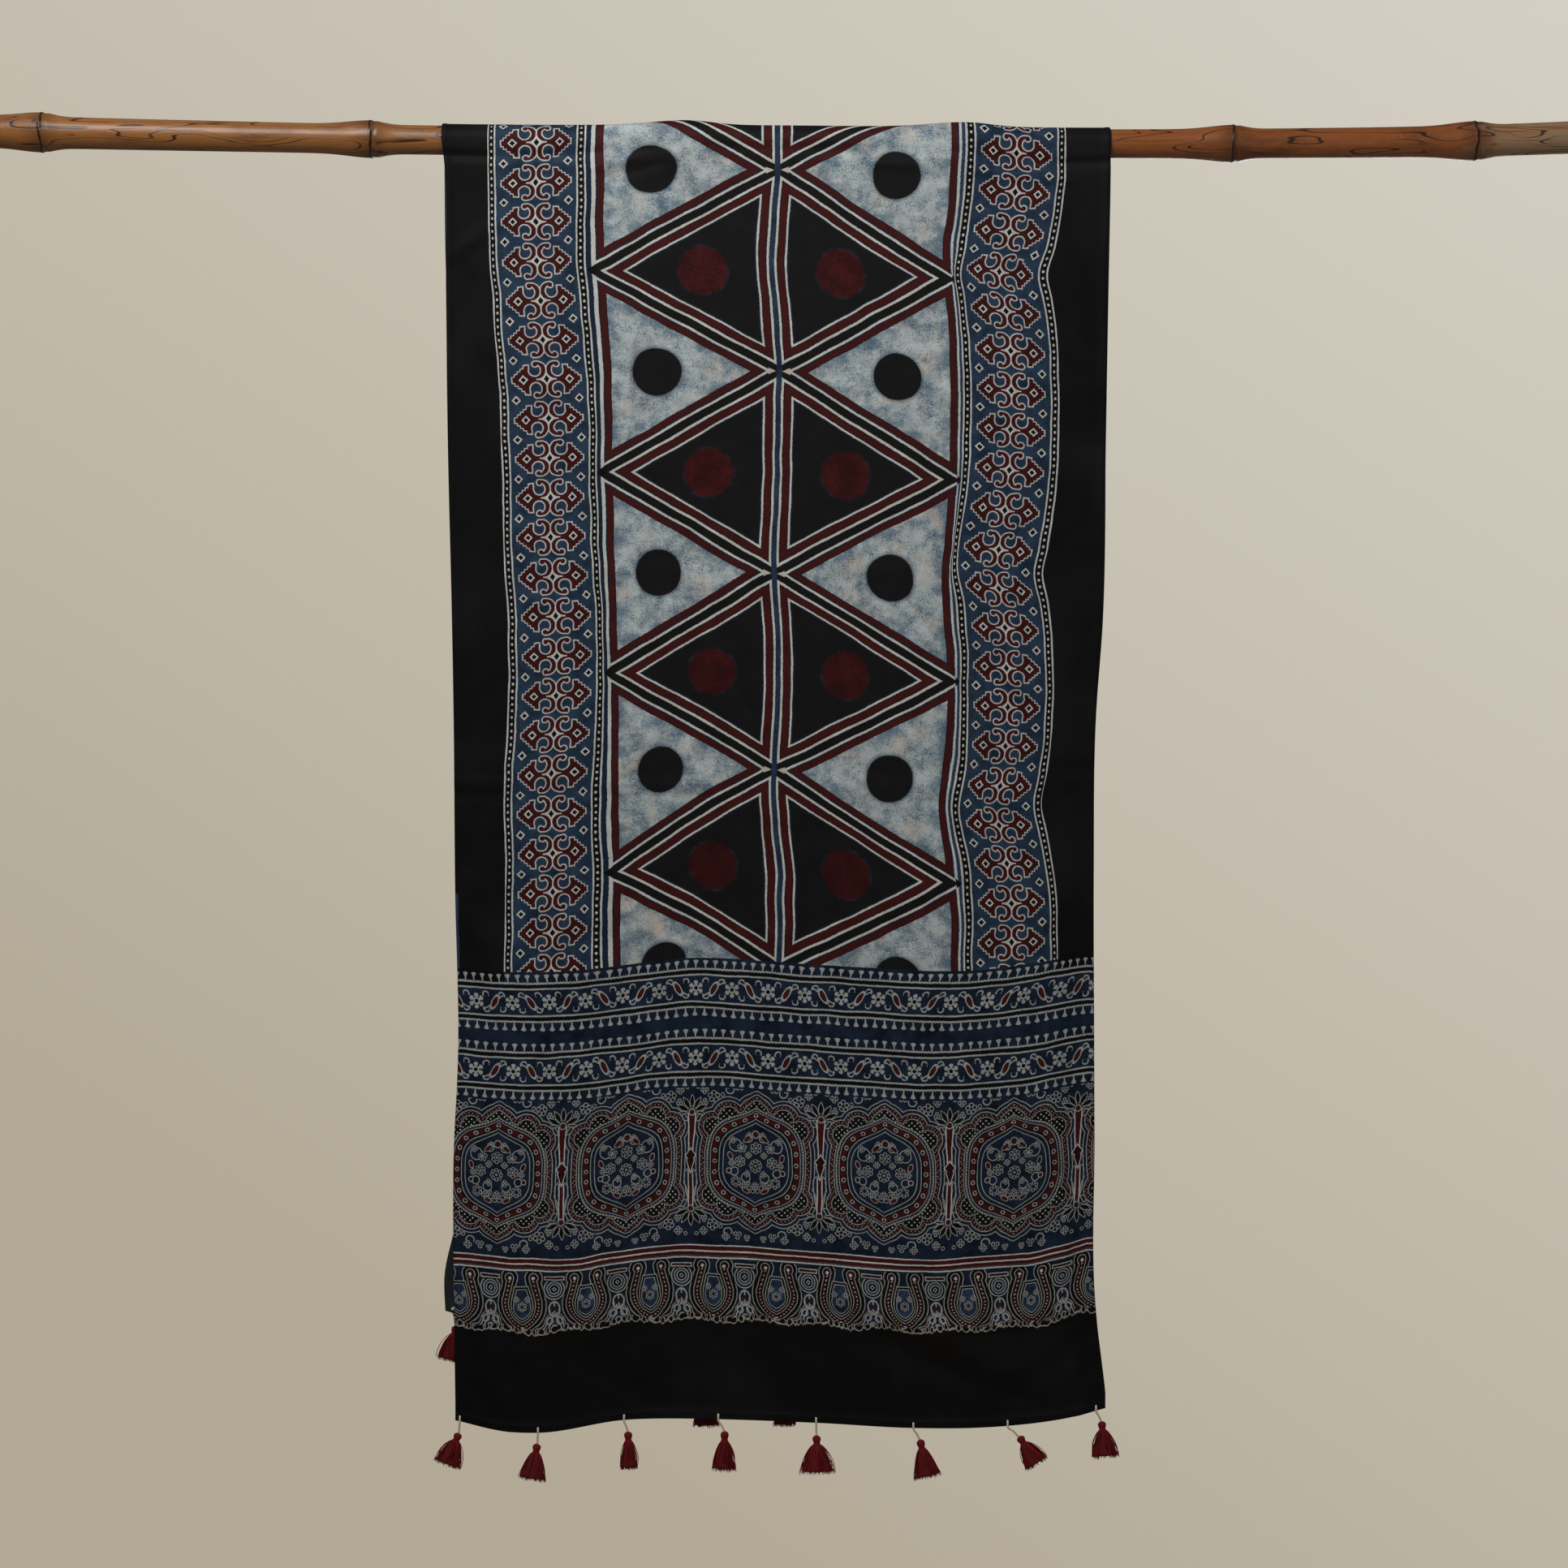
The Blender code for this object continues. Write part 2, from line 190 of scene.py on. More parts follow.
# The print's upright lines, from the left: where each lies on the flat cloth, then where it hangs.
GUIDE_PLACES = (0.0, 0.0493, 0.1214, 0.1308, 0.2725, 0.4202, 0.4276, 0.5007, CLOTH_WIDTH)
Guide = namedtuple(
    "Guide", "down outer_left inner_left field_left centre field_right inner_right outer_right"
)
GUIDES = (
    Guide(-0.010, -0.2347, -0.1605, -0.1500, 0.0020, 0.1530, 0.1630, 0.2367),
    Guide(0.026, -0.2347, -0.1603, -0.1497, 0.0020, 0.1515, 0.1618, 0.2374),
    Guide(0.060, -0.2344, -0.1605, -0.1497, 0.0000, 0.1490, 0.1583, 0.2330),
    Guide(0.087, -0.2339, -0.1610, -0.1494, -0.0027, 0.1455, 0.1545, 0.2280),
    Guide(0.111, -0.2325, -0.1598, -0.1485, -0.0025, 0.1462, 0.1500, 0.2207),
    Guide(0.130, -0.2308, -0.1578, -0.1470, -0.0010, 0.1480, 0.1536, 0.2247),
    Guide(0.154, -0.2292, -0.1562, -0.1457, 0.0013, 0.1500, 0.1565, 0.2285),
    Guide(0.187, -0.2262, -0.1533, -0.1435, 0.0037, 0.1512, 0.1586, 0.2307),
    Guide(0.221, -0.2240, -0.1510, -0.1425, 0.0028, 0.1516, 0.1590, 0.2314),
    Guide(0.261, -0.2226, -0.1503, -0.1420, 0.0022, 0.1513, 0.1577, 0.2307),
    Guide(0.304, -0.2216, -0.1496, -0.1414, 0.0010, 0.1490, 0.1533, 0.2270),
    Guide(0.338, -0.2206, -0.1485, -0.1405, -0.0010, 0.1462, 0.1484, 0.2210),
    Guide(0.357, -0.2200, -0.1474, -0.1397, -0.0014, 0.1440, 0.1478, 0.2166),
    Guide(0.382, -0.2180, -0.1452, -0.1386, 0.0004, 0.1450, 0.1530, 0.2218),
    Guide(0.415, -0.2170, -0.1442, -0.1375, 0.0026, 0.1478, 0.1556, 0.2256),
    Guide(0.455, -0.2167, -0.1442, -0.1368, 0.0027, 0.1490, 0.1563, 0.2272),
    Guide(0.490, -0.2180, -0.1456, -0.1370, 0.0008, 0.1480, 0.1556, 0.2256),
    Guide(0.525, -0.2204, -0.1477, -0.1372, -0.0007, 0.1440, 0.1540, 0.2216),
    Guide(0.556, -0.2207, -0.1486, -0.1363, -0.0010, 0.1414, 0.1496, 0.2160),
    Guide(0.577, -0.2200, -0.1478, -0.1356, 0.0010, 0.1440, 0.1530, 0.2207),
    Guide(0.603, -0.2193, -0.1472, -0.1352, 0.0035, 0.1475, 0.1573, 0.2254),
    Guide(0.630, -0.2193, -0.1472, -0.1352, 0.0040, 0.1513, 0.1597, 0.2294),
    Guide(0.685, -0.2205, -0.1482, -0.1352, 0.0034, 0.1515, 0.1597, 0.2307),
)
PANEL_SQUARE_FROM = 0.690
PANEL_SQUARE_FULL = 0.715

# How far the rows of the print hang below a level line, in the end panel and above it.
RowShift = namedtuple("RowShift", "across lines stripe")
ROW_SHIFTS = (
    RowShift(-0.258, -0.0020, -0.0020),
    RowShift(-0.238, 0.0000, -0.0005),
    RowShift(-0.205, 0.0007, 0.0013),
    RowShift(-0.171, 0.0000, 0.0018),
    RowShift(-0.131, -0.0040, -0.0027),
    RowShift(-0.104, -0.0074, -0.0067),
    RowShift(-0.070, -0.0107, -0.0080),
    RowShift(-0.037, -0.0101, -0.0074),
    RowShift(0.002, -0.0074, -0.0052),
    RowShift(0.074, -0.0034, 0.0000),
    RowShift(0.131, -0.0007, 0.0027),
    RowShift(0.164, -0.0013, 0.0000),
    RowShift(0.191, -0.0040, -0.0013),
    RowShift(0.218, -0.0080, -0.0042),
    RowShift(0.238, -0.0114, -0.0090),
    RowShift(0.258, -0.0141, -0.0140),
)
STRIPE_ROW = 0.135
LINES_ROW = 0.365
LEVEL_ROW = 0.740

SHEET_HALF = 0.00022
HEM_HALF = 0.00055
END_HEM_DEPTH = 0.0070
SIDE_HEM_DEPTH = 0.0045
HEM_EASE = 0.0008
COLUMN_STEP = 0.0056
FRONT_STEP = 0.0050
BACK_STEP = 0.0068
TURN_STEP = 0.0026
NEAR_POLE = 0.04


def smooth_at(places, values, at):
    """A cubic through the rows, each row's slope taken from its neighbours."""
    places = np.asarray(places, dtype=float)
    values = np.asarray(values, dtype=float)
    slopes = np.gradient(values, places)
    row = np.clip(np.searchsorted(places, at) - 1, 0, len(places) - 2)
    span = places[row + 1] - places[row]
    part = np.clip((at - places[row]) / span, 0.0, 1.0)
    rest = 1.0 - part
    ends = (1 + 2 * part) * rest**2 * values[row] + part**2 * (3 - 2 * part) * values[row + 1]
    return ends + span * (part * rest**2 * slopes[row] - part**2 * rest * slopes[row + 1])


def column(rows, name):
    """One named column of a table."""
    return [getattr(row, name) for row in rows]


def ease(low, high, at):
    """0 below low, 1 above high, with a smooth change between."""
    share = np.clip((at - low) / (high - low), 0.0, 1.0)
    return share * share * (3 - 2 * share)


def bell(offset, half_width):
    """A bell of height 1 that falls to about a third at its half width."""
    return np.exp(-((offset / half_width) ** 2))


def swelling(along, before, after):
    """How far a node stands up at a place along the pole, as a share of its full rise."""
    return sum(bell(along - place, np.where(along < place, before, after)) for place in NODE_PLACES)


def pole_plain_radius(along):
    """The pole's radius away from its nodes: least in the middle, growing towards both ends."""
    return POLE_RADIUS + POLE_SWELL * along**2


def pole_height(along):
    """The height of the pole's bowed axis."""
    return smooth_at(column(POLE_BOW, "along"), column(POLE_BOW, "height"), along)


def turn_radius(along):
    """The middle of the sheet where it lies on the pole, bridging softly over the nodes."""
    lift = BRIDGE_RISE * swelling(along, BRIDGE_BEFORE, BRIDGE_AFTER)
    return pole_plain_radius(along) + lift + POLE_GAP + SOLID_THICKNESS / 2


def fall_depth(folds, along, down):
    """How far a fall stands off the pole's upright plane: the turn's radius, then the long folds."""
    lift = BRIDGE_RISE * swelling(along, BRIDGE_BEFORE, BRIDGE_AFTER)
    plain = turn_radius(along) - lift * (1 - bell(down, BRIDGE_FADE))
    waves = sum(fold.outward * bell(along - fold.across, fold.half_width) for fold in folds)
    return plain + ease(FOLDS_START, FOLDS_FULL, down) * (FALL_SPREAD + waves)


def side_places(sides, down):
    """The left and right edges of a fall at a distance down."""
    places = column(sides, "down")
    return smooth_at(places, column(sides, "left"), down), smooth_at(places, column(sides, "right"), down)


def column_place(across, down):
    """Where an upright line of the front's print hangs: straight runs between the guides, which wander with
    the blocks above the end panel and stand evenly in it."""
    left, right = side_places(FRONT_SIDES, down)
    even = left + (right - left) * across / CLOTH_WIDTH
    downs = column(GUIDES, "down")
    inner = [smooth_at(downs, column(GUIDES, name), down) for name in Guide._fields[1:]]
    hung = np.stack([left, *inner, right])
    guide = np.clip(np.searchsorted(GUIDE_PLACES, across, side="right") - 1, 0, len(GUIDE_PLACES) - 2)
    places = np.array(GUIDE_PLACES)
    part = (across - places[guide]) / (places[guide + 1] - places[guide])
    near = np.take_along_axis(hung, guide[None], 0)[0]
    far = np.take_along_axis(hung, guide[None] + 1, 0)[0]
    wander = near + (far - near) * part
    return wander + (even - wander) * ease(PANEL_SQUARE_FROM, PANEL_SQUARE_FULL, down)


def row_shift(along_pole, along):
    """How far below its level line a row of the front's print hangs, by its place on the cloth."""
    places = column(ROW_SHIFTS, "across")
    hem = -smooth_at(column(FRONT_HEM, "across"), column(FRONT_HEM, "height"), along_pole) - FRONT_LENGTH
    stripe = smooth_at(places, column(ROW_SHIFTS, "stripe"), along_pole)
    lines = smooth_at(places, column(ROW_SHIFTS, "lines"), along_pole)
    below = hem + (stripe - hem) * np.clip(along / STRIPE_ROW, 0, 1)
    above = below + (lines - below) * np.clip((along - STRIPE_ROW) / (LINES_ROW - STRIPE_ROW), 0, 1)
    return above * (1 - ease(LINES_ROW, LEVEL_ROW, along))


# Creases pressed or pulled into the cloth: soft lines between two points of the hung face.
Crease = namedtuple("Crease", "name start_x start_z end_x end_z half_width outward")
FRONT_CREASES = (
    Crease("packing fold, left", -0.262, -0.533, -0.060, -0.536, 0.0030, 0.0010),
    Crease("packing fold, left trough", -0.262, -0.541, -0.060, -0.543, 0.0040, -0.0010),
    Crease("packing fold, right", 0.020, -0.526, 0.262, -0.522, 0.0045, -0.0007),
    Crease("middle packing fold", -0.150, -0.357, 0.160, -0.357, 0.0040, 0.0007),
    Crease("soft dent, upper left", -0.240, -0.190, -0.130, -0.330, 0.0200, -0.0016),
    Crease("soft swell, upper right", 0.120, -0.140, 0.255, -0.300, 0.0220, 0.0018),
    Crease("pull from the left node", -0.150, -0.030, -0.215, -0.240, 0.0120, 0.0016),
    Crease("pull from the right node", 0.165, -0.030, 0.205, -0.200, 0.0110, 0.0015),
    Crease("soft swell, middle", -0.020, -0.420, 0.060, -0.660, 0.0240, 0.0018),
    Crease("sag in the end band, left leg", 0.077, -0.996, 0.198, -1.038, 0.0100, -0.0022),
    Crease("sag in the end band, right leg", 0.198, -1.038, 0.258, -0.990, 0.0100, -0.0022),
    Crease("sag in the end band, left", -0.215, -0.985, -0.090, -1.044, 0.0110, -0.0015),
    Crease("ridge above the left corner", -0.252, -0.930, -0.222, -1.050, 0.0070, 0.0015),
    Crease("ridge above the right corner", 0.238, -0.900, 0.252, -1.046, 0.0060, 0.0020),
    Crease("dent beside the right edge", 0.247, -0.690, 0.246, -0.980, 0.0060, -0.0014),
    Crease("ridge in the end band", 0.055, -0.952, 0.165, -1.006, 0.0090, 0.0026),
    Crease("trough below it", 0.060, -0.975, 0.140, -1.012, 0.0080, -0.0022),
    Crease("faint ridge beside it", 0.140, -0.985, 0.215, -0.970, 0.0080, 0.0016),
    Crease("faint ridge in the left of the end band", -0.200, -1.000, -0.120, -0.975, 0.0100, 0.0014),
    Crease("wrinkle under the pole, left", -0.150, -0.024, -0.118, -0.017, 0.0026, 0.0012),
    Crease("wrinkle beside it", -0.128, -0.030, -0.100, -0.022, 0.0030, -0.0009),
    Crease("wrinkle under the pole, middle", 0.040, -0.018, 0.110, -0.022, 0.0030, 0.0010),
    Crease("wrinkle under the pole, right", 0.170, -0.028, 0.235, -0.034, 0.0034, 0.0014),
    Crease("small fold in the left band", -0.262, -0.092, -0.236, -0.074, 0.0040, 0.0012),
    Crease("small fold in the right band", 0.246, -0.118, 0.262, -0.205, 0.0040, 0.0012),
)
BACK_CREASES = (
    Crease("packing fold", -0.250, -0.531, 0.250, -0.527, 0.0040, -0.0009),
    Crease("middle packing fold", -0.240, -0.357, 0.240, -0.355, 0.0040, 0.0007),
    Crease("pull from the right node", 0.160, -0.030, 0.215, -0.260, 0.0120, 0.0016),
    Crease("pull from the left node", -0.070, -0.030, -0.110, -0.220, 0.0120, 0.0015),
    Crease("soft dent", 0.060, -0.300, 0.180, -0.520, 0.0250, -0.0018),
    Crease("swell above the lifted corner", -0.262, -0.780, -0.205, -0.960, 0.0140, 0.0022),
    Crease("sag in the end band", -0.080, -0.965, 0.120, -1.000, 0.0120, -0.0018),
)

# The line where the cloth leaves the pole's underside.
PoleCrease = namedtuple("PoleCrease", "across height")
POLE_CREASE = (
    PoleCrease(-0.278, -0.0127),
    PoleCrease(-0.230, -0.0134),
    PoleCrease(-0.150, -0.0107),
    PoleCrease(-0.104, -0.0067),
    PoleCrease(-0.077, -0.0040),
    PoleCrease(-0.046, -0.0054),
    PoleCrease(0.003, -0.0067),
    PoleCrease(0.086, -0.0080),
    PoleCrease(0.144, -0.0094),
    PoleCrease(0.202, -0.0168),
    PoleCrease(0.240, -0.0195),
    PoleCrease(0.278, -0.0181),
)
POLE_CREASE_HALF = 0.0034
POLE_CREASE_DEPTH = 0.0026


def crease_relief(creases, along, height):
    """The sum of the creases: each a bell across its line that dies away past the line's two ends."""
    total = np.zeros_like(along)
    for crease in creases:
        start = np.array((crease.start_x, crease.start_z))
        run = np.array((crease.end_x, crease.end_z)) - start
        reach = np.linalg.norm(run)
        line = run / reach
        ahead = (along - start[0]) * line[0] + (height - start[1]) * line[1]
        aside = (height - start[1]) * line[0] - (along - start[0]) * line[1]
        past = np.maximum(np.maximum(-ahead, ahead - reach), 0.0)
        total += crease.outward * bell(aside, crease.half_width) * bell(past, 3 * crease.half_width)
    return total


def pole_crease_relief(along, height):
    """A trough along the line where the cloth leaves the pole's underside."""
    line = smooth_at(column(POLE_CREASE, "across"), column(POLE_CREASE, "height"), along)
    return -POLE_CREASE_DEPTH * bell(height - line, POLE_CREASE_HALF)


def front_point(across, along):
    """A point of the front fall: its row hangs level but for the row's shift, its column follows the guides,
    and it stands forward by the long folds and the creases."""
    plain_down = FRONT_LENGTH - along
    place = column_place(across, plain_down)
    down = plain_down + row_shift(place, along)
    height = pole_height(place) * (1 - plain_down / FRONT_LENGTH) - down
    relief = crease_relief(FRONT_CREASES, place, height) + pole_crease_relief(place, height)
    return place, -(fall_depth(FRONT_FOLDS, place, down) + relief * ease(0.0, 0.02, down)), height


def back_point(across, along):
    """A point of the back fall: straight columns between its two edges, and rows that run out to its hem."""
    share = (along - FRONT_LENGTH - TURN_LENGTH) / BACK_LENGTH
    left_end = BACK_SIDES[-1].left
    right_end = BACK_SIDES[-1].right
    hem_place = left_end + (right_end - left_end) * across / CLOTH_WIDTH
    hem_height = smooth_at(column(BACK_HEM, "across"), column(BACK_HEM, "height"), hem_place)
    down = -hem_height * share
    left, right = side_places(BACK_SIDES, down)
    even = left + (right - left) * across / CLOTH_WIDTH
    start = column_place(across, np.zeros_like(across))
    start_even = TURN_LEFT + (TURN_RIGHT - TURN_LEFT) * across / CLOTH_WIDTH
    place = even + (start - start_even) * (1 - ease(0.0, 0.5, down))
    height = pole_height(place) * (1 - share) + hem_height * share
    relief = crease_relief(BACK_CREASES, place, height) + pole_crease_relief(place, height)
    return place, fall_depth(BACK_FOLDS, place, down) + relief * ease(0.0, 0.02, down), height


def turn_point(across, along):
    """A point of the turn over the pole: half a round from the front's top to the back's top."""
    share = (along - FRONT_LENGTH) / TURN_LENGTH
    angle = np.pi * share
    first = column_place(across, np.zeros_like(across))
    last = back_point(across, np.full_like(across, FRONT_LENGTH + TURN_LENGTH))[0]
    blend = share * share * (3 - 2 * share)
    place = first + (last - first) * blend
    radius = turn_radius(place)
    return place, -radius * np.cos(angle), pole_height(place) + radius * np.sin(angle)


def hung_point(across, along):
    """The middle of the sheet at a place on the cloth."""
    on_front = along <= FRONT_LENGTH
    on_back = along >= FRONT_LENGTH + TURN_LENGTH
    front = front_point(across, np.minimum(along, FRONT_LENGTH))
    back = back_point(across, np.maximum(along, FRONT_LENGTH + TURN_LENGTH))
    turn = turn_point(across, np.clip(along, FRONT_LENGTH, FRONT_LENGTH + TURN_LENGTH))
    parts = zip(front, back, turn)
    return np.stack([np.where(on_front, f, np.where(on_back, b, t)) for f, b, t in parts], -1)


def steps(marks, step):
    """Places through the marks, evenly divided between each two at about the given step."""
    pairs = zip(marks, marks[1:])
    runs = [np.linspace(a, b, max(1, round((b - a) / step)), endpoint=False) for a, b in pairs]
    return np.concatenate([*runs, [marks[-1]]])


def cloth_columns():
    """The sheet's columns: even ones between the print's zones, and close ones at the side hems."""
    hem_end = SIDE_HEM_DEPTH + HEM_EASE
    inner = steps((hem_end, *ZONE_COLUMNS, CLOTH_WIDTH - SIDE_HEM_DEPTH - HEM_EASE), COLUMN_STEP)
    side = np.array((0.0, 0.0006, SIDE_HEM_DEPTH / 2, SIDE_HEM_DEPTH))
    return np.concatenate([side, inner, CLOTH_WIDTH - side[::-1]])


def cloth_rows():
    """The sheet's rows: zone by zone along the front, close over the pole, wider along the back."""
    hem = np.array((0.0, 0.0006, END_HEM_DEPTH / 2, END_HEM_DEPTH))
    hem_end = END_HEM_DEPTH + HEM_EASE
    turn_end = FRONT_LENGTH + TURN_LENGTH
    row_zones = (hem_end, PAISLEY_FROM, MEDALLION_FROM, BAND_FROM, FIELD_FROM)
    front = steps((*row_zones, FRONT_LENGTH - NEAR_POLE), FRONT_STEP)[:-1]
    top = steps((FRONT_LENGTH - NEAR_POLE, FRONT_LENGTH, turn_end, turn_end + NEAR_POLE), TURN_STEP)
    back_marks = [CLOTH_LENGTH - mark for mark in row_zones[::-1]]
    back = steps((turn_end + NEAR_POLE, *back_marks), BACK_STEP)[1:]
    return np.concatenate([hem, front, top, back, CLOTH_LENGTH - hem[::-1]])


def grid_normals(points):
    """Unit normals of a grid of points, from the slopes along its two directions."""
    down_rows = np.gradient(points, axis=0)
    over_columns = np.gradient(points, axis=1)
    normals = np.cross(over_columns, down_rows)
    return normals / np.linalg.norm(normals, axis=-1, keepdims=True)


def grid_quads(rows, columns, first=0):
    """Corner numbers of the quads of a grid of points."""
    row, col = np.meshgrid(np.arange(rows - 1), np.arange(columns - 1), indexing="ij")
    corner = (row * columns + col).ravel() + first
    return np.stack([corner, corner + 1, corner + columns + 1, corner + columns], 1)


def closed_strip_quads(ring_sides, rings, first=0):
    """Corner numbers of the quads of a tube of rings."""
    ring, side = np.meshgrid(np.arange(rings - 1), np.arange(ring_sides), indexing="ij")
    here = (ring * ring_sides + side).ravel() + first
    beside = (ring * ring_sides + (side + 1) % ring_sides).ravel() + first
    return np.stack([here, beside, beside + ring_sides, here + ring_sides], 1)


def make_mesh(name, points, quads, smooth=True):
    """A mesh from arrays of points and quads."""
    mesh = bpy.data.meshes.new(name)
    mesh.vertices.add(len(points))
    mesh.vertices.foreach_set("co", np.asarray(points, np.float32).ravel())
    mesh.loops.add(quads.size)
    mesh.loops.foreach_set("vertex_index", quads.astype(np.int32).ravel())
    mesh.polygons.add(len(quads))
    mesh.polygons.foreach_set("loop_start", np.arange(0, quads.size, 4, dtype=np.int32))
    mesh.update(calc_edges=True)
    mesh.validate()
    mesh.polygons.foreach_set("use_smooth", np.full(len(quads), smooth))
    return mesh


def add_piece(name, mesh, slot, *materials):
    """Puts a finished mesh in the scene, riding on the one body, with its materials. The slot argument is
    not used.
    """
    for material in materials:
        mesh.materials.append(material)
    piece = bpy.data.objects.new(name, mesh)
    bpy.context.scene.collection.objects.link(piece)
    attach(piece, "root")
    return piece


# ---------------------------------------------------------------------------------------------------------
# Node arithmetic for the materials. Print places are in millimetres.
# ---------------------------------------------------------------------------------------------------------
class Value:
    """A number that varies over the surface: a node's output. Arithmetic on it adds a Math node."""

    def __init__(self, socket):
        self.socket = socket

    def __add__(self, other):
        return worked("ADD", self, other)

    def __radd__(self, other):
        return worked("ADD", self, other)

    def __sub__(self, other):
        return worked("SUBTRACT", self, other)

    def __rsub__(self, other):
        return worked("SUBTRACT", other, self)

    def __mul__(self, other):
        return worked("MULTIPLY", self, other)

    def __rmul__(self, other):
        return worked("MULTIPLY", self, other)

    def __abs__(self):
        return worked("ABSOLUTE", self)


def feed(socket, value):
    """Links a value to a socket, or sets a plain number or colour on it."""
    if isinstance(value, Value):
        value = value.socket
    if isinstance(value, bpy.types.NodeSocket):
        socket.node.id_data.links.new(value, socket)
    else:
        socket.default_value = value


def worked(operation, *terms, clamp=False):
    """A Math node on the terms."""
    tree = next(term for term in terms if isinstance(term, Value)).socket.node.id_data
    node = tree.nodes.new("ShaderNodeMath")
    node.operation = operation
    node.use_clamp = clamp
    for socket, term in zip(node.inputs, terms):
        feed(socket, term)
    return Value(node.outputs[0])


def least(first, *others):
    """The smallest of several values: where shapes join."""
    for other in others:
        first = worked("MINIMUM", first, other)
    return first


def most(first, *others):
    """The largest of several values: what shapes share."""
    for other in others:
        first = worked("MAXIMUM", first, other)
    return first


def folded(value, pitch):
    """Distance to the nearest of evenly spaced places."""
    return worked("PINGPONG", value, pitch / 2)


def repeated(value, pitch):
    """Signed distance to the nearest of evenly spaced places."""
    return worked("WRAP", value, pitch / 2, -pitch / 2)


def length(x, y):
    """The distance of (x, y) from nought."""
    return worked("SQRT", worked("MULTIPLY_ADD", y, y, x * x))


def scaled(value, factor, offset):
    """value * factor + offset in one node."""
    return worked("MULTIPLY_ADD", value, factor, offset)


def turned(x, y, degrees):
    """(x, y) turned by an angle."""
    cos = float(np.cos(np.radians(degrees)))
    sin = float(np.sin(np.radians(degrees)))
    return worked("MULTIPLY_ADD", x, cos, y * sin), worked("MULTIPLY_ADD", x, -sin, y * cos)


EDGE = 0.22


def inked(distance, soft=EDGE):
    """1 where the distance is below nought, with an edge as soft as printed dye."""
    return worked("MULTIPLY_ADD", distance, -0.5 / soft, 0.5, clamp=True)


def line(distance, half, soft=EDGE):
    """1 within half of a line."""
    return inked(abs(distance) - half, soft)


def stripe(value, low, high, soft=EDGE):
    """1 between two places."""
    return line(value - (low + high) / 2, (high - low) / 2, soft)


def laid(ground, ink, mask):
    """Ink over a ground, where the mask is 1."""
    tree = mask.socket.node.id_data
    node = tree.nodes.new("ShaderNodeMix")
    node.data_type = "RGBA"
    feed(node.inputs[0], mask)
    feed(node.inputs[6], ground)
    feed(node.inputs[7], ink)
    return node.outputs[2]


def noise(tree, vector, scale, detail=1.0, roughness=0.5, distortion=0.0):
    """A noise node on a vector."""
    node = tree.nodes.new("ShaderNodeTexNoise")
    tree.links.new(vector, node.inputs["Vector"])
    node.inputs["Scale"].default_value = scale
    node.inputs["Detail"].default_value = detail
    node.inputs["Roughness"].default_value = roughness
    node.inputs["Distortion"].default_value = distortion
    return node


def spread(value, low, high):
    """0 at low, 1 at high, clamped."""
    return worked("MULTIPLY_ADD", value, 1 / (high - low), -low / (high - low), clamp=True)


def vector_worked(tree, operation, first, second):
    """A Vector Math node on two vectors, or a vector and a plain triple."""
    node = tree.nodes.new("ShaderNodeVectorMath")
    node.operation = operation
    feed(node.inputs[0], first)
    feed(node.inputs[1], second)
    return node.outputs[0]


def parts_of(tree, vector):
    """A vector's three numbers."""
    node = tree.nodes.new("ShaderNodeSeparateXYZ")
    tree.links.new(vector, node.inputs[0])
    return [Value(socket) for socket in node.outputs]


def new_group(name, inputs, outputs):
    """An empty node group with named inputs and outputs; gives the tree and its input and output nodes."""
    group = bpy.data.node_groups.new(name, "ShaderNodeTree")
    for label, kind in inputs:
        group.interface.new_socket(label, in_out="INPUT", socket_type=kind)
    for label, kind in outputs:
        group.interface.new_socket(label, in_out="OUTPUT", socket_type=kind)
    return group, group.nodes.new("NodeGroupInput"), group.nodes.new("NodeGroupOutput")


def use_group(tree, group, **values):
    """A group placed in a tree with values for its inputs, named with underscores for spaces."""
    node = tree.nodes.new("ShaderNodeGroup")
    node.node_tree = group
    for label, value in values.items():
        feed(node.inputs[label.replace("_", " ")], value)
    return node


def new_material(name, roughness, colour=(0.5, 0.5, 0.5, 1.0)):
    """A material with a Principled shader; gives the material, its tree and the shader."""
    material = bpy.data.materials.new(name)
    material.use_nodes = True
    material.diffuse_color = colour
    shader = material.node_tree.nodes["Principled BSDF"]
    shader.inputs["Roughness"].default_value = roughness
    return material, material.node_tree, shader


def feed_bump(tree, shader, height, distance, strength=1.0):
    """A Bump node from a height to the shader's Normal."""
    bump = tree.nodes.new("ShaderNodeBump")
    bump.inputs["Strength"].default_value = strength
    bump.inputs["Distance"].default_value = distance
    feed(bump.inputs["Height"], height)
    tree.links.new(bump.outputs[0], shader.inputs["Normal"])


# ---------------------------------------------------------------------------------------------------------
# The dyes and the two effects that every printed zone uses.
# ---------------------------------------------------------------------------------------------------------
BLACK = (0.0042, 0.0042, 0.0050, 1.0)
WARM_BLACK = (0.0052, 0.0047, 0.0050, 1.0)
# Painted sheen: a lighter black laid in soft patches on the plain bands in place of the satin's sheen.
PAINTED_SHEEN_BLACK = (0.0100, 0.0098, 0.0108, 1.0)
FIELD_BLACK = (0.0078, 0.0078, 0.0092, 1.0)
INDIGO = (0.0240, 0.0450, 0.0900, 1.0)
INDIGO_DEEP = (0.0085, 0.0150, 0.0310, 1.0)
INDIGO_BORDER = (0.0230, 0.0440, 0.0800, 1.0)
INDIGO_BORDER_DEEP = (0.0090, 0.0190, 0.0390, 1.0)
PANEL_INDIGO = (0.0110, 0.0210, 0.0440, 1.0)
PANEL_DEEP = (0.0038, 0.0065, 0.0135, 1.0)
PANEL_LINE = (0.3200, 0.3350, 0.3400, 1.0)
INDIGO_LIGHT = (0.0900, 0.1500, 0.2100, 1.0)
DOT_MADDER = (0.0620, 0.0080, 0.0085, 1.0)
MADDER = (0.0500, 0.0080, 0.0085, 1.0)
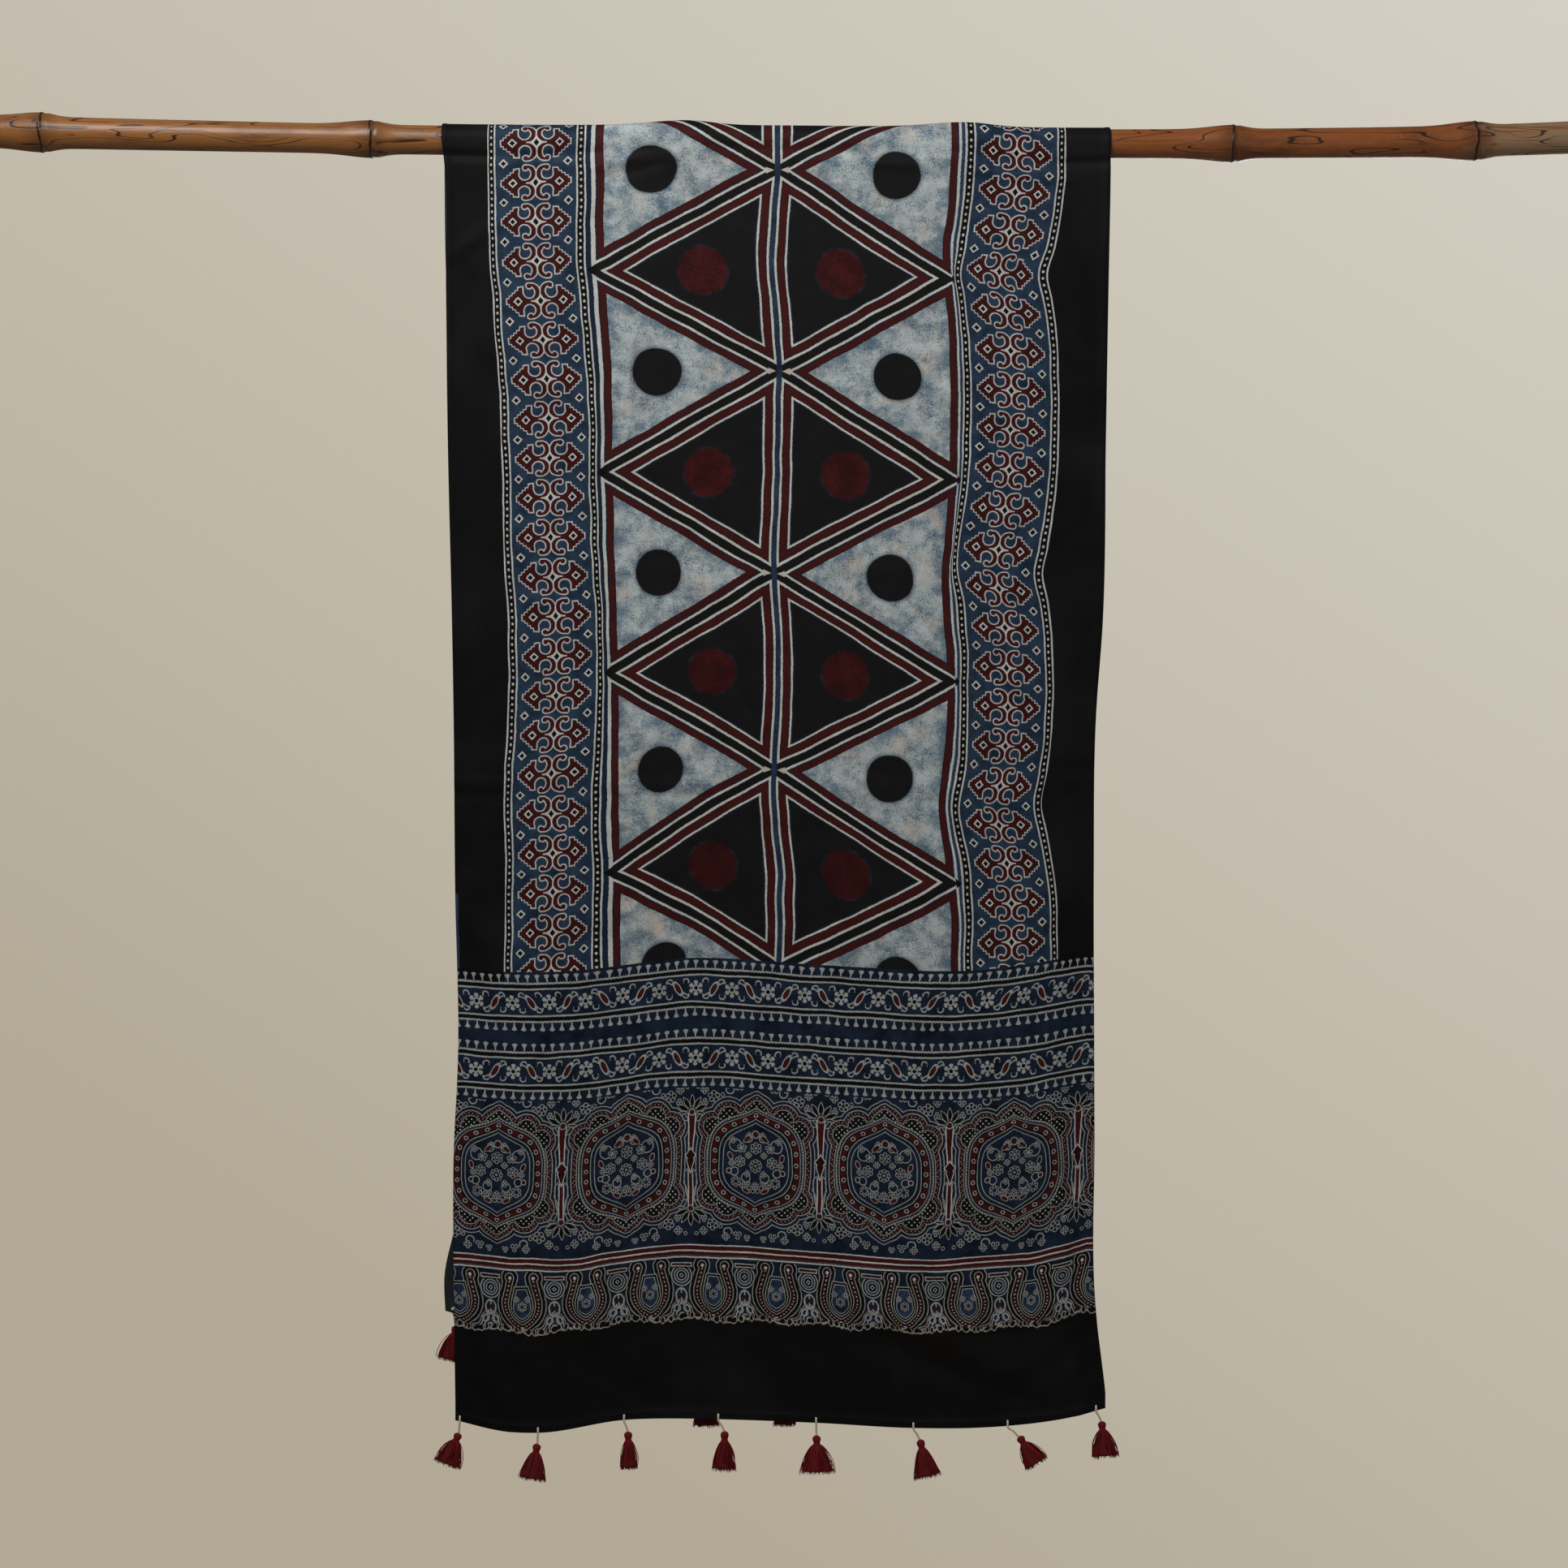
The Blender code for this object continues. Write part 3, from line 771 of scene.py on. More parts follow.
MADDER_DARK = (0.0270, 0.0050, 0.0055, 1.0)
UNDYED = (0.5000, 0.5100, 0.5000, 1.0)
UNDYED_CREAM = (0.5200, 0.4500, 0.3900, 1.0)
UNDYED_BLUE = (0.2700, 0.3150, 0.3500, 1.0)
PALE = (0.4500, 0.5000, 0.5150, 1.0)
PALE_SHADE = (0.0850, 0.1450, 0.2050, 1.0)


def print_uv(tree):
    """The cloth's own print places, in metres."""
    node = tree.nodes.new("ShaderNodeUVMap")
    node.uv_map = "print"
    return node.outputs[0]


def make_print_place():
    """Print places in mm, a little disturbed as hand blocks print: a slow wander of each block and a quick
    waver of its edges. Along runs from the front hem to the back hem, Hem from the nearer hem."""
    group, _, out = new_group(
        "print_place",
        (),
        (("Across", "NodeSocketFloat"), ("Along", "NodeSocketFloat"), ("Hem", "NodeSocketFloat")),
    )
    uv = print_uv(group)
    place = vector_worked(group, "SCALE", uv, (0.0, 0.0, 0.0))
    place.node.inputs["Scale"].default_value = 1000.0
    slow = noise(group, place, 1 / 38, 1.0).outputs["Color"]
    quick = noise(group, place, 1 / 2.6, 1.0).outputs["Color"]
    slow_move = vector_worked(group, "SUBTRACT", slow, (0.5, 0.5, 0.5))
    slow_move = vector_worked(group, "MULTIPLY", slow_move, (3.2, 3.2, 0.0))
    quick_move = vector_worked(group, "SUBTRACT", quick, (0.5, 0.5, 0.5))
    quick_move = vector_worked(group, "MULTIPLY", quick_move, (0.75, 0.75, 0.0))
    moved = vector_worked(group, "ADD", place, slow_move)
    moved = vector_worked(group, "ADD", moved, quick_move)
    across, along, _ = parts_of(group, moved)
    feed(out.inputs["Across"], across)
    feed(out.inputs["Along"], along)
    feed(out.inputs["Hem"], least(along, CLOTH_LENGTH * 1000 - along))
    return group


def make_dyed_cloth():
    """The cloth under the dye: satin threads, dye that takes unevenly, a greyer reverse. Gives the dyed
    colour, a roughness and the threads' height."""
    group, into, out = new_group(
        "dyed_cloth",
        (("Dye", "NodeSocketColor"), ("Unevenness", "NodeSocketFloat")),
        (("Color", "NodeSocketColor"), ("Roughness", "NodeSocketFloat"), ("Height", "NodeSocketFloat")),
    )
    uv = print_uv(group)
    place = vector_worked(group, "SCALE", uv, (0.0, 0.0, 0.0))
    place.node.inputs["Scale"].default_value = 1000.0
    across, along, _ = parts_of(group, place)
    grain = Value(noise(group, place, 1 / 0.9, 2.0, 0.7).outputs["Fac"])
    patches = Value(noise(group, place, 1 / 21, 3.0, 0.6).outputs["Fac"])
    streaked = vector_worked(group, "MULTIPLY", place, (1 / 0.8, 1 / 14, 1.0))
    streaks = Value(noise(group, streaked, 1.0, 1.0).outputs["Fac"])
    warp = folded(across, 0.42) * (1 / 0.21)
    weft = folded(along + folded(across, 0.84), 0.50) * (1 / 0.25)
    threads = warp * 0.65 + weft * 0.35
    uneven = Value(into.outputs["Unevenness"])
    depth = (grain - 0.5) * 1.5 + (patches - 0.5) * 1.6 + (streaks - 0.5) * 0.55
    shade = worked("MULTIPLY_ADD", depth, uneven, 1.0)
    lit = most(shade * scaled(threads, 0.16, 0.92), 0.25)
    colour = vector_worked(group, "SCALE", into.outputs["Dye"], (0.0, 0.0, 0.0))
    feed(colour.node.inputs["Scale"], lit)
    reverse = group.nodes.new("ShaderNodeAttribute")
    reverse.attribute_name = "reverse"
    dull = Value(reverse.outputs["Fac"]) * 0.45
    feed(out.inputs["Color"], laid(colour, (0.045, 0.055, 0.070, 1.0), dull))
    feed(out.inputs["Roughness"], scaled(patches, 0.20, 0.44))
    feed(out.inputs["Height"], threads * 0.5 + grain * 0.35 + patches * 0.8)
    return group


PRINT_PLACE = make_print_place()
DYED_CLOTH = make_dyed_cloth()


def printed_material(name, draw, unevenness=0.55):
    """A zone's material: its drawing as the dye of the shared cloth."""
    material, tree, shader = new_material(name, 0.55)
    place = use_group(tree, PRINT_PLACE)
    across, along, hem = (Value(place.outputs[label]) for label in ("Across", "Along", "Hem"))
    dye = draw(tree, across, along, hem)
    cloth = use_group(tree, DYED_CLOTH, Dye=dye, Unevenness=unevenness)
    tree.links.new(cloth.outputs["Color"], shader.inputs["Base Color"])
    tree.links.new(cloth.outputs["Roughness"], shader.inputs["Roughness"])
    shader.inputs["Specular IOR Level"].default_value = 0.07
    feed_bump(tree, shader, Value(cloth.outputs["Height"]), 0.00010)
    return material


# ---------------------------------------------------------------------------------------------------------
# The print. Each drawing takes print places in mm and gives a dye colour.
# ---------------------------------------------------------------------------------------------------------
CENTRE_LINE = 272.5
GUARD_LINES = (49.3, 121.4, 427.6, 500.7)
GUARD_DOT_PITCH = 5.57
BORDER_MIDDLES = (85.35, 464.15)
BORDER_PITCHES = (32.6, 32.9)
BORDER_STARTS = (1060.35, 1054.3)
FIELD_PITCH = 166.8
FIELD_CROSSING = 371.0
FIELD_REACH = 143.5
FIELD_EDGES = (130.2, 421.6)
FIELD_TILT = 0.040


HEM_STITCH_ROW = 6.4
HEM_THREAD = (0.0180, 0.0175, 0.0190, 1.0)


def plain_black(tree, across, along, hem):
    """The plain side and end bands: black, faintly brown in patches and lighter in others as painted satin
    sheen, with a blue strip along the left edge of the end panel and a row of hem stitches."""
    uv = print_uv(tree)
    brown = Value(noise(tree, uv, 22.0, 2.0).outputs["Fac"])
    colour = laid(BLACK, WARM_BLACK, spread(brown, 0.35, 0.7))
    # Painted sheen: soft lighter patches on the black that stand in for the satin's sheen.
    sheen_noise = Value(noise(tree, uv, 7.0, 3.0, 0.6).outputs["Fac"])
    colour = laid(colour, PAINTED_SHEEN_BLACK, spread(sheen_noise, 0.48, 0.70))
    colour = laid(colour, INDIGO, inked(across - 2.6) * inked(along - 438.0) * inked(360.0 - along))
    stitches = most(abs(hem - HEM_STITCH_ROW) - 0.28, 1.0 - folded(across, 3.4))
    return laid(colour, HEM_THREAD, inked(stitches))


def guard(colour, aside, along):
    """A guard line: black with a row of white oval dots, between two white lines."""
    colour = laid(colour, UNDYED, inked(abs(aside) - 3.7))
    colour = laid(colour, BLACK, inked(abs(aside) - 2.4))
    dots = length(aside, folded(along, GUARD_DOT_PITCH) * 0.78) - 0.86
    return laid(colour, UNDYED, inked(dots))


def mottled_indigo(tree, deep, light):
    """Indigo that took unevenly, from deep to light."""
    uv = print_uv(tree)
    patches = Value(noise(tree, uv, 60.0, 3.0, 0.65).outputs["Fac"])
    return laid(deep, light, spread(patches, 0.30, 0.62))


def border(x, y, colour):
    """One block of the border on places folded about its middle: four hooked arms that end in bulbs, a
    stepped half diamond at each side joined to them by a waist, a diamond at the heart and small ones in
    the half diamonds and at the corners. One white outline runs round all the madder."""
    hole = 5.3 - length(x - 9.2, y - 7.3)
    arm = most(length(x - 7.2, y - 7.4) - 6.9, hole, x - 8.7)
    bulb = length(x - 8.7, y - 12.4) - 2.0
    teeth = folded(x * 0.76 - y * 0.65, 3.3) * 0.8 - 0.65
    slope = worked("MULTIPLY_ADD", x, 0.65, y * 0.76 - 19.0) + teeth
    ear = most(abs(x - 15.9) - 1.5, y - 11.2)
    foot = 14.3 - x - most(7.3 - y, 0.0) * 2.4
    half = most(least(slope, ear), foot, hole, 8.0 - x, x - 27.6, y - 11.4)
    madder = least(half, arm, bulb)
    colour = laid(colour, UNDYED_BLUE, inked(madder - 1.05, 0.35))
    colour = laid(colour, UNDYED, inked(madder - 0.75))
    colour = laid(colour, MADDER, inked(madder))
    colour = laid(colour, MADDER_DARK, inked(madder + 1.9, 0.9) * 0.6)
    colour = laid(colour, UNDYED, inked(x - 0.5) * stripe(y, 4.3, 10.8))
    heart = x * (1 / 4.2) + y * (1 / 4.9)
    colour = laid(colour, UNDYED, inked(heart - 1.0, 0.06))
    colour = laid(colour, BLACK, inked(x * (1 / 2.3) + y * (1 / 3.1) - 1.0, 0.09))
    side = least(abs(x - 18.7) + y, abs(x - 26.0) + (16.3 - y))
    colour = laid(colour, UNDYED, inked(side - 3.8))
    return laid(colour, BLACK, inked(side - 2.2))


def left_border(tree, across, along, hem):
    """The left border: blocks between two guard lines, then a narrow blue strip that the points of the
    field's black triangles taper over, and a white line."""
    offset = across - BORDER_MIDDLES[0]
    x = abs(offset)
    y = folded(along - BORDER_STARTS[0] - offset * 0.05, BORDER_PITCHES[0])
    colour = border(x, y, mottled_indigo(tree, INDIGO_BORDER_DEEP, INDIGO_BORDER))
    colour = guard(colour, across - GUARD_LINES[0], along)
    colour = laid(colour, INDIGO_BORDER_DEEP, inked(125.0 - across))
    colour = laid(colour, UNDYED, line(across - 130.4, 1.5))
    point = FIELD_PITCH / 2 - folded(along - FIELD_CROSSING, FIELD_PITCH)
    colour = laid(colour, BLACK, inked(point - most(across - 125.0, 0.0) * 0.75) * inked(124.5 - across))
    return guard(colour, across - GUARD_LINES[1], along + 1.3)


def right_border(tree, across, along, hem):
    """The right border, printed with its right side lower than its left."""
    offset = across - BORDER_MIDDLES[1]
    x = abs(offset)
    y = folded(along - BORDER_STARTS[1] + offset * 0.10, BORDER_PITCHES[1])
    colour = border(x, y, mottled_indigo(tree, INDIGO_BORDER_DEEP, INDIGO_BORDER))
    colour = laid(colour, INDIGO, inked(across - 424.0))
    colour = laid(colour, UNDYED, line(across - 420.9, 0.75))
    tilt = (across - CENTRE_LINE) * FIELD_TILT
    point = FIELD_PITCH / 2 - folded(along - FIELD_CROSSING + tilt, FIELD_PITCH)
    colour = laid(colour, BLACK, inked(point - most(423.9 - across, 0.0) * 1.1) * inked(across - 424.5))
    colour = guard(colour, across - GUARD_LINES[2], along)
    return guard(colour, across - GUARD_LINES[3], along + 2.0)


def field(tree, across, along, hem):
    """The field: black bands that cross on a blue middle strip. Pale triangles with a black dot point in
    from the sides, black triangles with a red dot stand on the strip, and white and madder lines edge
    them all."""
    uv = print_uv(tree)
    offset = across - CENTRE_LINE
    x = abs(offset)
    row = along - FIELD_CROSSING + most(offset, 0.0) * FIELD_TILT
    y = folded(row, FIELD_PITCH)
    half = FIELD_PITCH / 2
    norm = float(np.hypot(half, FIELD_REACH))
    slant = worked("MULTIPLY_ADD", y, -FIELD_REACH / norm, x * (half / norm))
    cloud = Value(noise(tree, uv, 62.0, 4.0, 0.70).outputs["Fac"])
    speckle = Value(noise(tree, uv, 700.0, 2.0, 0.7).outputs["Fac"])
    blush = Value(noise(tree, uv, 34.0, 2.0, 0.6).outputs["Fac"])
    pale_in = slant - 3.5
    edge_in = least(abs(across - FIELD_EDGES[0]), abs(across - FIELD_EDGES[1]))
    tone = spread(cloud + (speckle - 0.5) * 0.75, 0.30, 0.60)
    pale = laid(PALE_SHADE, PALE, tone)
    pale = laid(pale, UNDYED_CREAM, spread(blush, 0.52, 0.66) * tone * 0.7)
    near_edge = least(pale_in, edge_in)
    halo = spread(near_edge, 20.0, 8.0) * spread(cloud, 0.64, 0.40)
    pale = laid(pale, INDIGO_LIGHT, halo * 0.8)
    black_dot = length(x - 97.5, y)
    pale = laid(pale, INDIGO, spread(black_dot, 23.0, 19.6) * 0.6)
    pale = laid(pale, FIELD_BLACK, inked(black_dot - 19.6, 0.5))
    pale = laid(pale, FIELD_BLACK, inked(near_edge - 8.3))
    pale = laid(pale, MADDER, inked(near_edge - 7.7))
    pale = laid(pale, INDIGO_DEEP, inked(near_edge - 3.0))
    pale = laid(pale, UNDYED, inked(near_edge - 1.7))
    red_dot = length(x - 56.0, half - y)
    blotch = spread(cloud + (speckle - 0.5) * 0.8, 0.40, 0.62)
    # The red dots darken towards the hem over their random blotches: painted shade, darker lower down the
    # cloth.
    red = laid(MADDER_DARK, DOT_MADDER, blotch * scaled(spread(hem, 380.0, 900.0), 0.7, 0.3))
    black_in = least(slant * -1.0 - 3.5, x - 2.25)
    dark = laid(FIELD_BLACK, INDIGO, spread(red_dot, 22.3, 20.6) * spread(cloud, 0.46, 0.66) * 0.5)
    dark = laid(dark, red, inked(red_dot - 20.0, 0.5))
    dark = laid(dark, INDIGO_DEEP, stripe(black_in, 10.0, 11.4, 0.5))
    dark = laid(dark, UNDYED, stripe(black_in, 8.5, 10.1))
    dark = laid(dark, MADDER, stripe(black_in, 2.6, 7.8))
    dark = laid(dark, UNDYED, inked(black_in - 1.8))
    colour = laid(dark, pale, inked(slant * -1.0, 0.3))
    colour = laid(colour, FIELD_BLACK, line(slant, 3.3))
    colour = laid(colour, UNDYED_CREAM, inked(most(y - (x - 2.6) * 0.42, 2.6 - x, x - 9.0)))
    strip = mottled_indigo(tree, INDIGO_BORDER_DEEP, INDIGO_BORDER)
    return laid(colour, strip, inked(x - 2.25))


BAND_MIDDLE = 350.7
BAND_APART = 56.4
VINE_HALF = 31.1
BELL_PITCH = 8.1


def blossom(x, y, petals, reach, petal):
    """Distance to a ring of round petals about (0, 0)."""
    share = repeated(worked("ARCTAN2", x, y), 2 * np.pi / petals)
    return length(length(x, y) - reach, share * reach) - petal


def outlined(colour, shape, thickness, outline, filling):
    """A shape's filling with an outline inside its edge."""
    colour = laid(colour, outline, inked(shape))
    return laid(colour, filling, inked(shape + thickness))


def floral_bands(tree, across, along, hem):
    """Two floral bands, each between black lines edged in white, with rows of small bells on both sides.
    In a band slanted madder leaves and open flowers stand by turns, with curled stems between."""
    y = repeated(hem - BAND_MIDDLE, BAND_APART)
    q = abs(y)
    colour = mottled_indigo(tree, PANEL_DEEP, PANEL_INDIGO)
    at_sides = inked(least(across - 45.6, 505.0 - across)) * inked(368.0 - hem)
    colour = laid(colour, BLACK, at_sides)
    x = folded(across - 47.5, 2 * VINE_HALF)
    near = least(x, VINE_HALF - x)
    leaf_x, leaf_y = turned(x - VINE_HALF / 2, y, 30)
    leaf = length(leaf_x * 2.6, leaf_y) - 5.2
    curl = most(abs(length(near - 8.6, q - 5.6) - 2.6), near - 10.4)
    vine = abs(y - worked("COSINE", x * (np.pi / VINE_HALF)) * 7.6)
    stem = least(most(curl, 5.0 - q), most(vine, 6.6 - near))
    colour = laid(colour, PANEL_LINE, inked(stem - 0.55))
    open_flower = least(blossom(near, y, 6, 4.6, 1.75), abs(length(near, y) - 2.3) - 0.6)
    colour = laid(colour, PANEL_LINE, inked(open_flower))
    colour = laid(colour, BLACK, inked(length(near, y) - 1.5))
    colour = outlined(colour, leaf - 2.2, 2.2, PANEL_LINE, MADDER)
    colour = laid(colour, PANEL_LINE, stripe(q, 10.5, 11.9))
    colour = laid(colour, BLACK, stripe(q, 12.1, 14.9))
    scallop = folded(across, 2.7) * 0.4
    colour = laid(colour, PANEL_LINE, stripe(q + scallop, 15.4, 16.9))
    bell_x = folded(across, BELL_PITCH)
    rise = q - 17.2
    cup = most(bell_x - most(scaled(rise, 0.55, -0.55), 0.6), rise - 6.1 + bell_x * 0.35)
    return laid(colour, PANEL_LINE, inked(cup) * inked(17.0 - q))


MEDALLION_MIDDLE = 210.5
MEDALLION_PITCH = 109.3
MEDALLION_START = 37.5

# Flowers in mm from the medallion's middle. The first four have a light heart.
Flower = namedtuple("Flower", "x y petals reach petal")
MEDALLION_FLOWERS = (
    Flower(0.0, -3.0, 8, 3.9, 1.5),
    Flower(13.6, 0.0, 6, 3.2, 1.5),
    Flower(12.0, 11.5, 5, 2.7, 1.4),
    Flower(0.0, 11.5, 6, 3.4, 1.6),
    Flower(16.5, -16.0, 6, 3.0, 1.4),
    Flower(0.0, -19.0, 5, 1.9, 1.3),
    Flower(7.0, -9.5, 4, 1.6, 1.2),
    Flower(20.5, -1.5, 4, 1.6, 1.2),
    Flower(6.5, 5.5, 4, 1.6, 1.2),
    Flower(19.5, 17.5, 4, 1.7, 1.2),
    Flower(5.5, 22.0, 4, 1.6, 1.2),
    Flower(10.0, -19.0, 4, 1.8, 1.3),
)
SPRIG_FLOWERS = (
    Flower(36.0, 52.0, 5, 3.1, 1.9),
    Flower(15.0, 60.5, 3, 2.0, 1.6),
    Flower(43.5, 47.5, 3, 1.6, 1.4),
    Flower(7.0, 62.5, 3, 1.5, 1.3),
    Flower(25.0, 62.0, 4, 2.0, 1.4),
    Flower(44.0, 57.5, 4, 2.0, 1.5),
)


def staggered_dots(x, y, pitch, radius):
    """Rows of dots, every other row moved by half a pitch."""
    first = length(folded(x, pitch), folded(y, pitch))
    second = length(folded(x + pitch / 2, pitch), folded(y + pitch / 2, pitch))
    return inked(least(first, second) - radius)


def medallions(tree, across, along, hem):
    """Medallions side by side. Each outline is a run of lobes with a pointed one at the top and the bottom;
    inside follow dotted madder, dotted black, blue, madder with small circles and a blue ground of flowers.
    Fans of petals, a stem and an arch stand between them, with sprigs above and below."""
    y_up = hem - MEDALLION_MIDDLE
    x = folded(across - MEDALLION_START, MEDALLION_PITCH)
    y = abs(y_up)
    colour = mottled_indigo(tree, PANEL_DEEP, PANEL_INDIGO)
    peak = most(20.0 - x, 0.0)
    tall = (y - peak * peak * 0.0165) * 1.06
    ring = worked("POWER", worked("POWER", abs(tall), 2.8) + worked("POWER", x, 2.8), 1 / 2.8)
    top_lobe = length(x, y - 37.0) - 16.0 - most(6.0 - x, 0.0) * 0.35
    upper_lobe = length(x - 23.5, y - 36.0) - 12.5
    lower_lobe = length(x - 36.5, y - 28.0) - 12.0
    lobes = least(top_lobe, upper_lobe, lower_lobe, ring - 46.6)
    dots = staggered_dots(x, y, 4.6, 0.60)
    small_dots = staggered_dots(x + y * 0.3, y, 3.3, 0.45)

    # Between the medallions: the stem and its arch, and the fans at both ends.
    gap = MEDALLION_PITCH / 2 - x
    arch = abs(length(gap, most(y_up + 12.0, (y_up + 12.0) * 0.25)) - 5.4)
    stem = most(gap - 1.5 - most(y_up - 12.0, 0.0) * 0.05, y - 38.0, 9.0 - y)
    hooks = most(abs(length(gap - 5.0, y - 36.0) - 3.6), y - 38.0)
    lines = least(most(arch, y_up * -1.0 - 33.0), hooks, abs(lobes - 3.4))
    colour = laid(colour, PANEL_LINE, inked(lines - 0.34))
    colour = outlined(colour, stem - 0.9, 0.9, UNDYED, MADDER)
    wide_diamond = gap * (1 / 4.2) + abs(y_up - 4.0) * (1 / 5.2) - 1.0
    tall_diamond = gap * (1 / 3.0) + y * (1 / 9.0) - 1.0
    diamond = least(wide_diamond, tall_diamond)
    colour = laid(colour, UNDYED, inked(diamond - 0.22, 0.06))
    colour = laid(colour, MADDER_DARK, inked(diamond, 0.06))
    fan_y = y - 39.5
    fan_r = length(gap, fan_y)
    fan_turn = worked("ARCTAN2", gap, fan_y)
    bulge = worked("SINE", spread(fan_r, 2.5, 14.5) * np.pi) * 2.1 - 0.35
    petals = most(abs(repeated(fan_turn, 0.58)) * fan_r - bulge, (fan_turn - 1.7) * fan_r)
    colour = laid(colour, PANEL_LINE, inked(petals - 0.55) * inked(fan_r - 14.4) * inked(4.0 - fan_r))
    colour = laid(colour, BLACK, inked(petals) * inked(fan_r - 13.8))
    colour = outlined(colour, fan_r - 3.0, 0.8, PANEL_LINE, MADDER)
    sprig_turn = abs(length(x - 23.0, y - 58.0) - 3.4)
    berries = least(length(x - 29.0, y - 53.5) - 1.7, length(x - 50.0, y - 60.0) - 1.6)
    sprigs = least(berries, *(blossom(x - row.x, y - row.y, *row[2:]) for row in SPRIG_FLOWERS))
    colour = laid(colour, PANEL_LINE, inked(most(sprig_turn, y - 59.0) - 0.45))
    colour = outlined(colour, sprigs, 0.6, PANEL_LINE, BLACK)

    # The lobed rim and the rings inside it.
    colour = laid(colour, PANEL_LINE, inked(lobes - 0.7))
    colour = laid(colour, MADDER_DARK, inked(lobes))
    colour = laid(colour, PANEL_LINE, inked(lobes + 0.8) * inked(-3.2 - lobes) * small_dots)
    colour = laid(colour, PANEL_LINE, inked(lobes + 3.7))
    colour = laid(colour, BLACK, inked(lobes + 4.3))
    colour = laid(colour, UNDYED, inked(lobes + 5.2) * inked(41.6 - ring) * dots)
    colour = laid(colour, PANEL_LINE, inked(ring - 41.2))
    ticks = inked(folded(worked("ARCTAN2", x, tall) * 40.0, 2.4) - 0.55)
    colour = laid(colour, BLACK, inked(ring - 40.7) * inked(39.9 - ring) * ticks)
    colour = laid(colour, mottled_indigo(tree, PANEL_DEEP, PANEL_INDIGO), inked(ring - 39.9))
    colour = laid(colour, PANEL_LINE, stripe(ring, 37.9, 38.5))
    colour = laid(colour, BLACK, inked(ring - 37.9))
    colour = laid(colour, MADDER, inked(ring - 37.2))
    beads = length(repeated(worked("ARCTAN2", x, tall) * 34.6, 9.06), ring - 34.6)
    colour = laid(colour, PANEL_LINE, inked(abs(beads - 1.4) - 0.4))
    colour = laid(colour, BLACK, inked(beads - 1.0))
    colour = laid(colour, BLACK, inked(ring - 33.0))
    colour = laid(colour, PANEL_LINE, stripe(ring, 30.8, 31.4))
    ground = mottled_indigo(tree, PANEL_DEEP, PANEL_INDIGO)
    colour = laid(colour, ground, inked(ring - 30.4))
    colour = laid(colour, PANEL_LINE, stripe(ring, 27.5, 28.1))

    # The flowers inside.
    curls = least(abs(length(x - 17.5, y_up - 13.5) - 5.0), abs(length(x - 8.0, y_up + 12.5) - 3.6))
    curls = least(curls, abs(length(x - 6.0, y_up - 19.5) - 3.0), abs(length(x - 18.0, y_up + 8.0) - 3.2))
    colour = laid(colour, PANEL_LINE, inked(curls - 0.35) * inked(ring - 26.5))
    fan = most(blossom(x, y_up + 17.5, 9, 6.0, 1.8), y_up + 16.0)
    flowers = least(fan, *(blossom(x - row.x, y_up - row.y, *row[2:]) for row in MEDALLION_FLOWERS))
    colour = outlined(colour, flowers, 0.5, PANEL_LINE, BLACK)
    bud_x, bud_y = turned(x - 7.5, y_up - 19.0, 50)
    side_x, side_y = turned(x - 22.0, y_up - 4.5, -20)
    low_x, low_y = turned(x - 8.0, y_up + 23.0, -60)
    buds = least(length(bud_x * 2.0, bud_y) - 3.4, length(side_x * 1.6, side_y) - 2.8)
    berries = least(length(x - 22.5, y_up + 7.5) - 1.7, length(x, y_up - 23.0) - 2.6)
    buds = least(buds, length(low_x * 2.0, low_y) - 3.0, berries)
    colour = outlined(colour, buds - 0.7, 0.7, PANEL_LINE, MADDER)
    hearts = least(*(length(x - row.x, y_up - row.y) for row in MEDALLION_FLOWERS[:4]))
    return laid(colour, PANEL_LINE, inked(hearts - 0.9))


def stripe_set(colour, hem):
    """The two madder stripes edged in white that part the medallions from the row of pots."""
    colour = laid(colour, UNDYED, stripe(hem, 130.6, 141.4))
    colour = laid(colour, INDIGO_DEEP, stripe(hem, 131.7, 132.6))
    return laid(colour, MADDER, least(stripe(hem, 132.6, 135.7) + stripe(hem, 136.9, 140.4), 1.0))


def medallion_zone(tree, across, along, hem):
    """The medallions above their two madder stripes."""
    return stripe_set(medallions(tree, across, along, hem), hem)


POT_PITCH = 53.9
POT_START = 4.5
POT_MIDDLE = 103.4
LACE_PITCH = 6.74
LACE_THREAD = (0.3300, 0.3000, 0.2750, 1.0)


